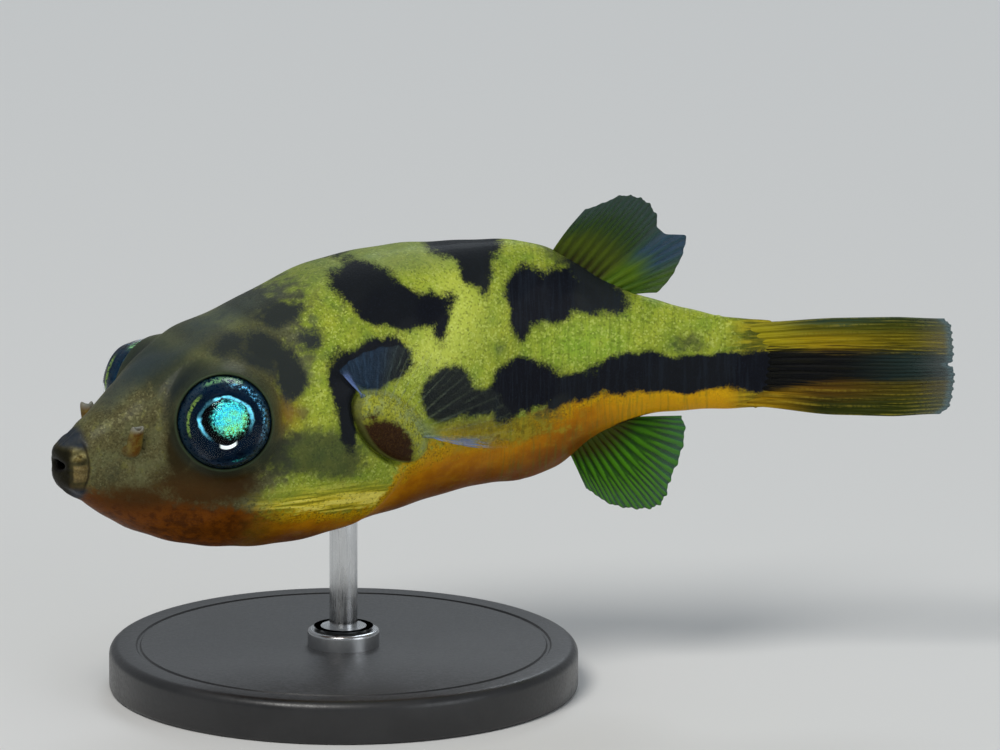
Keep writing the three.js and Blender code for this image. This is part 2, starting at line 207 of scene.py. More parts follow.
def add_circle(points):
    """A circle of vertices in the mesh in edit mode, moved to these points."""
    bpy.ops.mesh.select_all(action="DESELECT")
    bpy.ops.mesh.primitive_circle_add(vertices=len(points), radius=1, location=(0, 0, 0))
    fresh = [v for v in edited().verts if v.select]
    fresh.sort(key=lambda v: math.atan2(v.co.y, v.co.x) % (2 * math.pi))
    for v, p in zip(fresh, points):
        v.co = p
    refresh()
    return points


def close_end():
    bpy.ops.mesh.edge_face_add()
    bpy.ops.mesh.poke()


AROUND = 36
round_angles = np.arange(AROUND) / AROUND * 2 * math.pi
LIP_UP = -1.45
# The mouth and lips from the throat outwards: station, height, width as a share of it, side crease
LIP_PROFILE = [
    (1.2, 0.2, 0.8, 0), (0.9, 0.26, 0.9, 0), (0.6, 0.28, 1.1, 0), (0.42, 0.25, 1.3, 0), (0.28, 0.18, 1.7, 0),
    (0.15, 0.14, 2.1, 0), (0.06, 0.23, 1.55, 0), (0.03, 0.38, 1.25, 0), (0.05, 0.53, 1.1, 0),
    (0.11, 0.66, 1.05, 0), (0.2, 0.77, 1.03, 0), (0.31, 0.87, 0.99, 0), (0.42, 0.96, 0.94, 0),
    (0.53, 1.03, 0.89, 0.01), (0.63, 1.1, 0.85, 0.04), (0.72, 1.16, 0.81, 0.1), (0.81, 1.21, 0.79, 0.11),
    (0.91, 1.27, 0.76, 0.03), (1.05, 1.37, 0.73, 0),
]
FIRST_BODY_RING = 1.18
HEAD_STEP, BODY_STEP = 0.34, 0.44


def lip_ring(s, radius, wide, crease):
    """A ring of the lips, pinched in at the mouth's corners by the crease."""
    pinch = 1 - crease * np.abs(np.cos(round_angles)) ** 1.5
    cleft = 0.13 * (1 - smooth_step(s, 0.1, 0.5)) * np.abs(np.cos(round_angles)) ** 3
    out = np.cos(round_angles) * radius * wide * pinch
    low_top = 1 - 0.2 * (1 - smooth_step(s, 0.3, 1.05)) * smooth_step(np.sin(round_angles), 0, 0.6)
    up = LIP_UP + np.sin(round_angles) * radius * pinch * low_top
    return np.stack([s + cleft, out, up], 1)


stations = list(np.arange(FIRST_BODY_RING, 9.5, HEAD_STEP)) + list(np.arange(9.6, BODY_LENGTH, BODY_STEP))
rings = [lip_ring(*row) for row in LIP_PROFILE]
rings += [skin_ring(s, round_angles) for s in stations]
# The hide runs out over the tail fin's root in a thin wedge: station, share of the width, of the height
tail_ring = skin_ring(BODY_LENGTH, round_angles)
for s, wide, tall in (
        (23.3, 0.8, 1), (23.55, 0.58, 1), (23.8, 0.4, 0.99), (24, 0.26, 0.97), (24.08, 0.12, 0.95)):
    centre = tail_ring.mean(0)
    ring = centre + (tail_ring - centre) * (1, wide, tall)
    ring[:, 0] = s
    rings.append(ring)

skin = new_piece("skin", bpy.ops.mesh.primitive_circle_add, vertices=AROUND, radius=1, enter_editmode=True)
bpy.ops.mesh.delete(type="VERT")
rim = add_circle(fish_to_edit(rings[0]))
for ring in rings[1:]:
    rim = next_ring(rim, fish_to_edit(ring))
close_end()
pick(fish_to_edit(rings[0]))
close_end()

EYE_AT, EYE_OUT, EYE_UP, EYE_RADIUS = 4.7, 2.66, 0.03, 1.5
EYE_FORWARD, EYE_RAISED = math.radians(25), math.radians(8)


def eye_axes(side):
    """The centre of one eye in the straight frame, and its level, lift and sight directions."""
    sight = np.array([
        -math.sin(EYE_FORWARD) * math.cos(EYE_RAISED),
        side * math.cos(EYE_FORWARD) * math.cos(EYE_RAISED),
        math.sin(EYE_RAISED),
    ])
    level = np.array([sight[1], -sight[0], 0]) * side
    level /= np.linalg.norm(level)
    lift = np.array([0, 0, 1]) - sight * sight[2]
    lift /= np.linalg.norm(lift)
    return np.array([EYE_AT, side * EYE_OUT, EYE_UP]), level, lift, sight


def socket_ring(side, count, radius, on_skin, height):
    """A ring round the line of sight, between the skin there and a height above the eye's centre."""
    centre, level, lift, sight = eye_axes(side)
    angles = np.arange(count) / count * 2 * math.pi
    flat = centre + radius * (np.cos(angles)[:, None] * level + np.sin(angles)[:, None] * lift)
    points = flat.copy()
    for _ in range(12):
        gap = skin_out(points[:, 0], points[:, 2]) * side - points[:, 1]
        points += (gap / sight[1])[:, None] * sight
    risen = (points - flat) @ sight
    level_off = risen * on_skin + height * (1 - on_skin)
    return flat + level_off[:, None] * sight


# Rings of the socket: radius, how much of the body's own surface is left, height over the eye's centre
SOCKET = [
    (2.06, 1, 0), (1.94, 0.84, 0.06), (1.83, 0.55, 0.08), (1.73, 0.24, 0.1), (1.65, 0.06, 0.17),
    (1.59, 0, 0.24), (1.545, 0, 0.265), (1.51, 0, 0.24), (1.48, 0, 0.17), (1.42, 0, 0),
    (1.1, 0, -0.3),
]
LOBE_AT, LOBE_UP = 10.7, -0.62
LOBE_LONG, LOBE_TALL, LOBE_SLOPE = 1.62, 0.93, math.radians(-38)


def lobe_place(s, up):
    """Where a point lies on a pectoral lobe: along its length to the rear, and across it upwards."""
    x, z = s - LOBE_AT, up - LOBE_UP
    c, d = math.cos(LOBE_SLOPE), math.sin(LOBE_SLOPE)
    return (x * c + z * d) / LOBE_LONG, (-x * d + z * c) / LOBE_TALL


def lobe_ring(side, count, scale, lift, groove):
    angles = np.arange(count) / count * 2 * math.pi
    a, b = np.cos(angles) * scale * LOBE_LONG, np.sin(angles) * scale * LOBE_TALL
    c, d = math.cos(LOBE_SLOPE), math.sin(LOBE_SLOPE)
    s, up = LOBE_AT + a * c - b * d, LOBE_UP + a * d + b * c
    front = np.clip(0.15 - 0.85 * np.sin(angles) - 0.5 * np.cos(angles), 0, 1)
    out = skin_out(s, up) + lift - groove * smooth_step(front, 0, 0.8)
    return np.stack([s, out * side, up], 1)


# Rings of a lobe: share of its outline, height over the skin, and how much deeper the gill side is
LOBE = [
    (1.36, 0, 0), (1.22, 0.02, 0.04), (1.13, 0.04, 0.26), (1.07, 0.08, 0.46), (1.035, 0.13, 0.38),
    (1, 0.18, 0.1), (0.94, 0.22, 0), (0.8, 0.27, 0), (0.58, 0.32, 0), (0.3, 0.35, 0),
]


def open_port(side, near, make_ring, rows):
    """Cuts the faces near a place out of a side of the skin and grows the rings of what stands there."""
    bm = edited()
    for f in bm.faces:
        f.select = False
    bm.select_flush(False)
    chosen = []
    for f in bm.faces:
        s, right, up = f.calc_center_median()
        if right * side < 0 and near(s, -right, up):
            f.select = True
            chosen.append(f)
    border = {e for f in chosen for e in f.edges if sum(g.select for g in e.link_faces) == 1}
    count = len(border)
    border_points = {key(v.co) for e in border for v in e.verts}
    refresh()
    bpy.ops.mesh.delete(type="FACE")
    rows = [fish_to_edit(make_ring(side, count, *row)) for row in rows]
    rim_points = add_circle(rows[0])
    held = {key(p) for p in rim_points}
    for e in edited().edges:
        e.select = False
    for e in edited().edges:
        if len(e.link_faces) < 2 and all(key(v.co) in border_points | held for v in e.verts):
            e.select = True
    refresh()
    bpy.ops.mesh.bridge_edge_loops()
    bm = edited()
    around = {v for v in bm.verts if key(v.co) in border_points}
    for _ in range(2):
        around |= {e.other_vert(v) for v in around for e in v.link_edges}
    around = [v for v in around if key(v.co) not in held]
    for _ in range(8):
        bmesh.ops.smooth_vert(bm, verts=around, factor=0.5, use_axis_x=True, use_axis_y=True, use_axis_z=True)
        for v in around:
            reach = float(skin_out(v.co.x, v.co.z)[0])
            v.co.y = reach if v.co.y > 0 else -reach
    refresh()
    pick(rim_points)
    for row in rows[1:]:
        rim_points = next_ring(rim_points, row)
    close_end()


# How far round an eye's line of sight, a lobe's middle and a nostril the faces are cut out
EYE_CUT, LOBE_CUT, NOSTRIL_CUT = 2.25, 1.5, 0.4


def near_lobe(s, out, up):
    return math.hypot(*lobe_place(s, up)) < LOBE_CUT


for side in (1, -1):
    centre, _, _, sight = eye_axes(side)

    def near_eye(*point):
        return np.linalg.norm(np.cross(point - centre, sight)) < EYE_CUT

    open_port(side, near_eye, socket_ring, SOCKET)
    open_port(side, near_lobe, lobe_ring, LOBE)

NOSTRIL_AT, NOSTRIL_UP = 2.05, -0.98


def nostril_ring(side, count, wide, deep, turn, out, up, fork):
    angles = np.arange(count) / count * 2 * math.pi
    across = np.array([0, side * 1, -0.42]) / math.hypot(1, 0.42)
    axis = np.array([-0.02, side * 0.42, 1])
    axis /= np.linalg.norm(axis)
    second = (1 - turn) * np.array([0, 0, -1]) + turn * across
    second /= np.linalg.norm(second)
    foot_out = float(skin_out(NOSTRIL_AT, NOSTRIL_UP)[0])
    points = np.array([NOSTRIL_AT, side * (foot_out + out), NOSTRIL_UP + up]) + np.stack([
        wide * np.cos(angles), *(deep * np.sin(angles) * second[1:, None])], 1)
    points += (fork * np.cos(2 * angles))[:, None] * axis
    if turn == 0:
        points[:, 1] = skin_out(points[:, 0], points[:, 2]) * side
    return points


# Rings of a nostril, a low foot that bends up into a flattened tube with a forked tip: half width, half
# depth, turn from the skin's plane to across the tube, place out and up from the foot, fork
NOSTRIL = [
    (0.36, 0.26, 0, 0, 0.04, 0), (0.31, 0.22, 0.4, 0.06, 0.12, 0), (0.29, 0.19, 0.8, 0.1, 0.26, 0),
    (0.28, 0.17, 1, 0.16, 0.45, 0), (0.26, 0.16, 1, 0.26, 0.68, 0), (0.24, 0.15, 1, 0.34, 0.86, 0.03),
    (0.19, 0.11, 1, 0.37, 0.92, 0.06), (0.13, 0.07, 1, 0.355, 0.88, 0.06), (0.1, 0.04, 1, 0.28, 0.7, 0),
]


def near_nostril(s, out, up):
    return math.hypot(s - NOSTRIL_AT, up - NOSTRIL_UP) < NOSTRIL_CUT


for side in (1, -1):
    open_port(side, near_nostril, nostril_ring, NOSTRIL)


def leave_edit_mode():
    """Turns all faces outwards and goes back to object mode."""
    bpy.ops.mesh.select_all(action="SELECT")
    bpy.ops.mesh.normals_make_consistent(inside=False)
    bpy.ops.object.mode_set(mode="OBJECT")


leave_edit_mode()
subdivide = skin.modifiers.new("hide", "SUBSURF")
subdivide.levels = subdivide.render_levels = 2
bpy.ops.object.modifier_apply(modifier="hide")


def read_vectors(data, name):
    values = np.empty(len(data) * 3)
    data.foreach_get(name, values)
    return values.reshape(-1, 3)


def write_vectors(mesh, name, *columns):
    """Stores three values at each vertex under a name that a material can read."""
    layer = mesh.attributes.new(name, "FLOAT_VECTOR", "POINT")
    layer.data.foreach_set("vector", np.stack(np.broadcast_arrays(*columns), 1).astype(np.float32).ravel())


def hill(value, centre, half):
    """A soft hill, 1 at the centre and 0 from half its width outwards."""
    return 1 - smooth_step(np.abs(np.asarray(value) - centre), 0, half)


straight = read_vectors(skin.data.vertices, "co") * (1, -1, 1)
normals = read_vectors(skin.data.vertices, "normal") * (1, -1, 1)
s, out, up = straight.T
crown, _, _, middle, _ = section(s)
beyond_lips = smooth_step(s, 1.2, 2)
lobe_a, lobe_b = lobe_place(s, up)
from_lobe = np.hypot(lobe_a, lobe_b)
off_lobe = smooth_step(from_lobe, 1.15, 1.6)
eye_across = np.empty(len(s))
eye_angle = np.empty(len(s))
for side in (1, -1):
    centre, level, lift, _ = eye_axes(side)
    here = out * side > 0
    flat_x, flat_y = (straight - centre) @ level, (straight - centre) @ lift
    eye_across[here] = np.hypot(flat_x, flat_y)[here]
    eye_angle[here] = np.arctan2(flat_y, flat_x)[here]
flank = beyond_lips * off_lobe * smooth_step(eye_across, 1.75, 2.3)

# The hide's own relief: soft folds of the cheek, the edge of the gill chamber, the brow over the eye,
# low ridges under the upright fins, the vent, and the pleated lips
cheek = hill(s, 8.2, 3.2) * hill(up, -3.05, 1)
folds = 0.02 * cheek * np.sin(2 * math.pi * (up + 0.07 * s + 0.05 * np.sin(s * 2.3)) / 0.44)
pouch_edge = s - (11.25 + 0.25 * (up + 2) - 0.18 * (up + 2) ** 2)
pouch = 0.09 * (smooth_step(pouch_edge, -1.4, -0.05) - smooth_step(pouch_edge, -0.05, 0.28))
pouch *= smooth_step(-up, 1.7, 2.5) * (1 - smooth_step(-up, 3.9, 4.5))
brow = 0.09 * hill(eye_across, 2.25, 0.5) * hill(eye_angle, 2.2, 1.2)
# The fold over the eye's upper front: dented into the skin, and painted dark blue as shade in the fold.
eye_fold_and_shade = hill(eye_across, 1.86, 0.3) * hill(eye_angle, 2.5, 0.95)
under_eye = -0.05 * eye_fold_and_shade - 0.06 * hill(eye_across, 2.1, 0.45) * hill(eye_angle, -1.4, 1.4)
above, below = up - middle, middle - up
dorsal_ridge = 0.07 * hill(s, 16.95, 1.5) ** 0.5 * hill(out, 0, 0.55) * smooth_step(above, 0, 0.6)
anal_ridge = 0.12 * hill(s, 17.4, 1.3) ** 0.5 * hill(out, 0, 0.5) * smooth_step(below, 0, 0.6)
vent_lump = 0.17 * hill(s, 15.95, 1) * hill(out, 0, 0.8) * smooth_step(below, 0.6, 1.2)
around_mouth = np.arctan2(up - LIP_UP, out)
pleat_wave = np.cos(around_mouth * 14 + 2 * np.sin(around_mouth * 3) + 1.5 * s)
pleats = 0.034 * pleat_wave * hill(s, 0.5, 0.5) * smooth_step(np.hypot(out / 0.92, up - LIP_UP), 0.48, 0.75)
swell = 0.02 * np.sin(s * 1.7 + 0.8 * up) * np.sin(up * 2.1 + 0.6) + 0.012 * np.sin(s * 4.1 - 2.6 * up)
relief = (folds + swell) * flank + pouch * off_lobe + (brow + under_eye) * beyond_lips
relief += dorsal_ridge + anal_ridge + vent_lump + pleats
straight += normals * relief[:, None]
s, out, up = straight.T.copy()

# Places of the dark blotches on a side: station, height, half length, half height, turn, blackness
BLOTCHES = [
    (10.3, 3.72, 0.98, 0.5, -2, 0.75), (11.1, 3.08, 1.5, 0.62, -10, 0.8), (12.3, 2.92, 0.8, 0.42, -8, 0.9),
    (12.88, 2.45, 0.26, 0.45, 0, 0.9), (13.15, 3.12, 0.24, 0.12, 25, 0.8),
    (14.1, 4.6, 1.15, 0.5, -4, 0.75), (14.4, 4, 0.55, 0.5, 0, 0.7), (14.62, 3.55, 0.2, 0.3, 0, 0.6),
    (16.2, 3, 0.75, 0.84, 6, 0.95), (17.1, 2.95, 0.9, 0.74, -14, 0.9), (15.78, 2.25, 0.3, 0.6, 0, 0.85),
    (18.05, 2.8, 0.85, 0.38, -26, 0.65), (18.45, 3.1, 1.1, 0.36, -38, 0.6),
    (13, 0.16, 1.02, 0.88, 0, 0.7), (14.5, -0.14, 0.85, 0.44, 6, 0.8), (15.98, 0.22, 1.27, 0.82, 0, 1),
    (15.4, -0.5, 0.5, 0.48, 0, 0.85), (17.75, -0.04, 0.95, 0.45, 0, 0.85), (17.2, -0.34, 0.6, 0.2, 8, 0.6),
    (19.6, 0.36, 1.3, 0.64, 0, 0.85), (21.4, 0.22, 2.5, 0.6, 2, 0.8), (23.5, 0.2, 1.2, 0.64, 0, 1),
    (10.15, 1.45, 1.33, 0.74, 4, 0.85), (8.8, 0.85, 0.5, 0.95, 0, 0.8), (8.95, -0.35, 0.34, 0.95, 5, 0.75),
    (5.4, 2.25, 0.5, 0.17, 12, 0.2), (6.45, 2.05, 0.5, 0.36, 0, 0.3), (7, 1.35, 0.42, 0.7, -8, 0.35),
    (6.05, 1.75, 0.4, 0.18, -25, 0.2), (7.95, 2.25, 0.24, 0.24, 0, 0.05), (7.3, 3, 0.6, 0.2, 16, 0.25),
]
MERGE = 0.07
warp_s = s + 0.07 * np.sin(2.9 * up + 1.1 * s) + 0.04 * np.sin(6.1 * up - 2.9 * s + 1)
warp_up = up + 0.05 * np.sin(2.7 * s + 0.4) + 0.04 * np.sin(5.7 * s + 2.2 * up)
near_blotch = np.zeros(len(s))
blackness = np.zeros(len(s))
for at, high, long, tall, turn, black in BLOTCHES:
    c, d = math.cos(math.radians(turn)), math.sin(math.radians(turn))
    x, y = warp_s - at, warp_up - high
    depth = (1 - np.hypot((x * c + y * d) / long, (-x * d + y * c) / tall)) * math.sqrt(long * tall)
    weight = np.exp(np.clip(depth, -2, 2) / MERGE)
    near_blotch += weight
    blackness += weight * black
blackness /= near_blotch
near_blotch = np.clip(MERGE * np.log(near_blotch), -1, 1)


def spots(*rows):
    """Soft round spots added up: station, height, half length, half height, strength."""
    return sum(strength * np.exp(-((s - at) / long) ** 2 - ((up - high) / tall) ** 2)
               for at, high, long, tall, strength in rows)


# Where the orange of the belly begins, by station
BELLY_LINE = [
    (0, -2), (1, -2.3), (3, -2.5), (5, -2.82), (6.5, -3.22), (8, -3.4), (10.2, -3.52), (11.2, -2.3),
    (12.5, -1.6), (14, -1.35), (16, -1.15), (17, -0.6), (18, -0.25), (19.5, -0.15), (23.6, -0.2),
]
belly = (through(BELLY_LINE, s)[:, 0] - up) * (2 - smooth_step(s, 9.8, 11.3))
haze = 0.8 * smooth_step(up - crown, -0.35, -0.08) * hill(s, 17.4, 1.6) + spots(
    (3.6, 1.45, 1.5, 0.75, 1), (7.5, -1.15, 2.1, 0.76, 1.35), (8.9, -1.8, 0.9, 0.6, 0.6),
    (21.4, 1.2, 0.8, 0.4, 0.75), (1.5, -1.6, 0.35, 0.5, 0.5), (8.4, 3.2, 1.2, 0.7, 0.35),
    (16.8, -0.75, 0.8, 0.35, 0.8), (14, -0.85, 1, 0.3, 0.6),
    (15.1, 1.5, 0.4, 0.5, 0.45), (9.7, 2.6, 0.5, 0.8, 0.3))
gold = hill(s, 8.9, 4.3) ** 0.65 * hill(up + 0.045 * (s - 8), -2.95, 1.05) ** 0.8
gold *= 1 - smooth_step(pouch_edge, -0.3, 0.05)
head = 1 - smooth_step(s - 0.28 * up, 5.5, 8.3)
lips = 1 - smooth_step(s, 0.66, 0.94)
wedge_and_chin_shade = np.maximum(spots((3.32, -0.85, 0.38, 1.2, 1)), spots((4.2, -1.98, 1.65, 0.85, 1)))
# Under the chin the dark brown runs on as painted shade.
wedge_and_chin_shade = np.maximum(wedge_and_chin_shade, spots((2.3, -2.4, 1.6, 0.65, 0.65)) * (1 - lips))
ochre = spots((6.75, 0.1, 0.55, 0.55, 1), (13.6, -1.05, 1.7, 0.32, 1))
nostril = hill(s, NOSTRIL_AT, 0.5) * smooth_step(np.abs(out) - skin_out(s, up), 0.03, 0.1)
nostril *= smooth_step(up, -1.3, -0.9) * (1 - smooth_step(up, 0.3, 0.5))
nostril_tip = nostril * smooth_step(up, -0.3, -0.06)
lobe = 1 - smooth_step(from_lobe, 0.98, 1.1)
lobe_brown = 1 - smooth_step(np.hypot(lobe_a - 0.06, (lobe_b + 0.66) / 0.98), 0.45, 1.2)
lobe_edge = hill(from_lobe, 0.99, 0.09) * smooth_step(-lobe_b - 0.4 * lobe_a, 0.1, 0.6)
back_blue = smooth_step(up - crown, -0.3, 0) * hill(s, 4.5, 7.5) * beyond_lips
# Brighter yellow patches on the mid-flank: painted light.
lit_flank_patches = spots((12.5, 1.5, 1.1, 0.8, 1.3), (13.5, 2.9, 1, 1.1, 1.4), (7.9, 0.2, 0.45, 1.3, 0.15))
# Painted highlights over the top of the head and snout, and a painted green sheen on the cheek below the eye.
glint = spots(
    (5.75, 2.7, 0.9, 0.3, 1), (6.35, -2.1, 0.5, 0.6, 0.5),
    (4.35, 1.8, 0.7, 0.5, 0.8), (7.6, 1.9, 0.3, 0.7, 0.7))
green = hill(s, 18, 2.6) * hill(up, 1.3, 1.2)
olive_gold = hill(s, 15.3, 3.4) * hill(up, -1.3, 0.85)
back_grey = smooth_step(up - crown, -0.8, -0.25) * hill(s, 11.5, 5)
lip_back, over_lips = 0.89 * s + 0.45 * np.abs(out), up - LIP_UP
# Cream pleats on the near side of the lips: their own colour, striped across the pleats with painted light
# and shade.
pleat_light_and_shade = 0.55 + 0.45 * np.cos(16 * (over_lips - 0.4 * lip_back))
cream = lips * hill(lip_back, 0.78, 0.44) * hill(over_lips, 0.42, 0.28) * pleat_light_and_shade
plate = lips * smooth_step(lip_back, 0.56, 0.64) * (1 - smooth_step(lip_back, 1.08, 1.18))
plate *= smooth_step(over_lips, -0.52, -0.42) * (1 - smooth_step(over_lips, 0.04, 0.12))
# Dark lines in the crease behind the lips, round the lip's plate and along its fold: painted shade in the
# creases.
crease_shade_line = hill(s, 0.8 - 0.17 * over_lips ** 2, 0.075) * (1 - smooth_step(np.abs(over_lips), 0.5, 0.9))
plate_edge = 0.8 * hill(lip_back, 0.57, 0.06) * hill(over_lips, -0.2, 0.42)
fold_line = 0.8 * hill(over_lips, 0.4 - 0.55 * (lip_back - 0.75), 0.07) * lips
fold_line *= smooth_step(lip_back, 0.68, 0.8)
lip_crease_shade = np.maximum(np.maximum(crease_shade_line, plate_edge), fold_line)
# Blue-grey over the top of the lips, and a painted blue highlight under them.
lip_blue_and_highlight = lips * np.maximum(smooth_step(over_lips, 0.5, 0.68), smooth_step(-over_lips, 0.6, 0.85))
# The front of the muzzle is painted almost black: painted shade.
muzzle_front_shade = (1 - smooth_step(lip_back, 0.42, 0.62)) * (1 - smooth_step(over_lips, 0.45, 0.65)) * lips
# The mouth's opening is painted near black inside: painted shade in the throat.
throat_shade = 1 - smooth_step(np.hypot(out / 0.44, over_lips / 0.28), 0.7, 1.1)


class Paint:
    """A node material under a maker's hand: each call adds one node and gives back what it puts out."""

    def __init__(self, name, tree=None):
        if tree is None:
            self.material = bpy.data.materials.new(name)
            self.material.use_nodes = True
            tree = self.material.node_tree
            self.surface = tree.nodes["Principled BSDF"]
        self.tree = tree

    def node(self, kind, inputs=(), output=0, **settings):
        made = self.tree.nodes.new("ShaderNode" + kind)
        for name, value in settings.items():
            setattr(made, name, value)
        for name, value in dict(inputs).items():
            self.put(made.inputs[name], value)
        return Value(self, made.outputs[output])

    def put(self, socket, value):
        if isinstance(value, Value):
            self.tree.links.new(value.socket, socket)
        elif socket.type == "RGBA":
            socket.default_value = (*value, 1)
        else:
            socket.default_value = value

    def layer(self, name):
        """The three values stored under this name."""
        return self.node("Attribute", output="Vector", attribute_name=name).parts()

    def math(self, operation, a, b=0):
        return self.node("Math", {0: a, 1: b}, operation=operation)

    def mix(self, factor, a, b):
        made = self.node("Mix", data_type="RGBA").socket.node
        for index, value in ((0, factor), (6, a), (7, b)):
            self.put(made.inputs[index], value)
        return Value(self, made.outputs[2])

    def coats(self, colour, *coats):
        """Coats of colour laid one over another, each as thick as its mask."""
        for mask, coat in coats:
            colour = self.mix(mask, colour, coat)
        return colour

    def bump(self, height, strength, distance):
        return self.node("Bump", {"Height": height, "Strength": strength, "Distance": distance})

    def finish(self, **inputs):
        for name, value in inputs.items():
            self.put(self.surface.inputs[name.replace("_", " ").title().replace("Ior", "IOR")], value)


class Value:
    """What a node puts out. Sums and products of these are Math nodes of the same material."""

    def __init__(self, paint, socket):
        self.paint, self.socket = paint, socket

    def __add__(self, other):
        return self.paint.math("ADD", self, other)

    def __sub__(self, other):
        return self.paint.math("SUBTRACT", self, other)

    def __rsub__(self, other):
        return self.paint.math("SUBTRACT", other, self)

    def __mul__(self, other):
        return self.paint.math("MULTIPLY", self, other)

    def __abs__(self):
        return self.paint.math("ABSOLUTE", self)

    def most(self, other):
        return self.paint.math("MAXIMUM", self, other)

    def parts(self):
        split = self.paint.node("SeparateXYZ", {0: self}).socket.node
        return [Value(self.paint, part) for part in split.outputs]

    def where(self, low, high, to_low=0, to_high=1):
        """A soft step between two values."""
        inputs = {"Value": self, "From Min": low, "From Max": high, "To Min": to_low, "To Max": to_high}
        return self.paint.node("MapRange", inputs, interpolation_type="SMOOTHSTEP")

    def noise(self, scale, detail=2, rough=0.5, distortion=0):
        inputs = {
            "Vector": self, "Scale": scale, "Detail": detail, "Roughness": rough, "Distortion": distortion}
        return self.paint.node("TexNoise", inputs)

    def stretch(self, scale, turn=(0, 0, 0)):
        return self.paint.node("Mapping", {"Vector": self, "Scale": scale, "Rotation": turn})


hide = Paint("painted_hide")


def stored(name, *columns):
    """Stores three marks at the skin's vertices and gives them back to the hide's paint."""
    write_vectors(skin.data, name, *columns)
    return hide.layer(name)


fish = hide.node("Attribute", output="Vector", attribute_name="fish")
belly, gold, head = stored("ground", belly, gold, head)
blotch, black, haze = stored("marks", near_blotch, blackness, np.clip(haze, 0, 1))
wedge_and_chin_shade, eye_distance, ochre = stored("face", np.clip(wedge_and_chin_shade, 0, 1), eye_across, ochre)
lobe, lobe_brown, lobe_edge = stored("lobe", lobe, lobe_brown, lobe_edge)
muzzle_front_shade, back_blue, lit_flank_patches = stored("front", muzzle_front_shade, back_blue, lit_flank_patches)
cream, lip_blue_and_highlight, throat_shade = stored("mouth", cream, lip_blue_and_highlight, throat_shade)
plate, lip_crease_shade, lips = stored("lips", plate, lip_crease_shade, lips)
glint, green, tail_root = stored("sheen", glint, green, smooth_step(s, 22.3, 23.5))
olive_gold, back_grey, rear = stored("tone", olive_gold, back_grey, smooth_step(s, 17.8, 20))
nostril, nostril_tip, eye_fold_and_shade = stored("nostril", nostril, nostril_tip, eye_fold_and_shade)
fish_s, _, fish_up = stored("fish", s, out, up)

grain = fish.noise(15, 3, 0.75)
coarse = fish.noise(1.6, 3, 0.6)
patchy = fish.noise(3.2, 4, 0.65)
cells = hide.node("TexVoronoi", {"Vector": fish, "Scale": 16, "Randomness": 1}, output="Color")
cell_value = hide.node("SeparateColor", {0: cells})
flecks = cell_value.where(0.7, 1)
dark_cells = cell_value.where(0.3, 0)


def rough_edge(mask, low, high, amount, most=1):
    """A mask whose edge is broken up by the patchy growth of the pigment."""
    return (mask + patchy.where(0.3, 0.7, -amount, amount)).where(low, high, 0, most)


# Lime flank of reflecting grains over olive, brighter in patches of painted light on the mid-flank
lime = hide.coats(
    hide.mix(grain.where(0.3, 0.7), (0.18, 0.24, 0.022), (0.29, 0.38, 0.034)),
    (patchy.where(0.38, 0.68, 0, 0.85), (0.44, 0.5, 0.05)),
    (coarse.where(0.5, 0.7, 0, 0.65), (0.18, 0.32, 0.03)),
    (coarse.where(0.47, 0.3, 0, 0.35), (0.52, 0.52, 0.05)),
    (lit_flank_patches * 0.55, (0.6, 0.68, 0.1)),
    (green * 0.4, (0.26, 0.52, 0.045)),
    (flecks * 0.36, (0.8, 0.88, 0.24)),
    (dark_cells * 0.5, (0.09, 0.12, 0.015)),
    (back_grey * 0.6, (0.17, 0.22, 0.085)),
)
# Olive head, greener and darker over the forehead
olive = hide.coats(
    hide.mix(grain.where(0.3, 0.7), (0.06, 0.054, 0.02), (0.125, 0.112, 0.047)),
    (coarse.where(0.4, 0.65, 0, 0.7), (0.13, 0.135, 0.06)),
    (fish_up.where(0.2, 2.2, 0, 0.3), (0.05, 0.075, 0.045)),
    (flecks * 0.2, (0.34, 0.34, 0.18)),
    (dark_cells * 0.4, (0.02, 0.02, 0.008)),
)
# Gold wrinkles of the cheek
wrinkles = fish.stretch((0.3, 0.5, 4.2), turn=(0, -0.06, 0)).noise(1.7, 2.5, 0.5, 0.4)
gilt = hide.coats(
    hide.mix(wrinkles.where(0.42, 0.56), (0.3, 0.26, 0.012), (0.84, 0.68, 0.05)),
    (wrinkles.where(0.53, 0.62, 0, 0.95), (1, 0.87, 0.15)),
    (dark_cells * 0.5, (0.1, 0.08, 0.006)),
    (fish_up.where(-3, -2.4, 0, 0.6), (0.3, 0.4, 0.04)),
)
# Belly: amber where it begins, then orange, then a deep red-orange underneath and under the chin, partly its
# own colour and partly painted shade
amber = hide.mix(grain.where(0.35, 0.7), (0.42, 0.23, 0.001), (0.72, 0.42, 0.004))
amber = hide.mix(dark_cells * 0.7, amber, (0.07, 0.05, 0.003))
orange = hide.mix(coarse.where(0.3, 0.7), (0.4, 0.135, 0), (0.58, 0.23, 0))
tarnish = hide.mix(patchy.where(0.4, 0.62), (0.12, 0.09, 0.006), (0.33, 0.29, 0.02))
deep_orange_and_shade = hide.mix(patchy.where(0.35, 0.65), (0.075, 0.02, 0.0002), (0.17, 0.046, 0.0005))
umber = hide.mix(fish_up.where(-2.3, -1.2), (0.05, 0.02, 0.002), (0.02, 0.0125, 0.002))
behind_head, in_front = fish_s.where(5, 7.5), fish_s.where(8, 5)
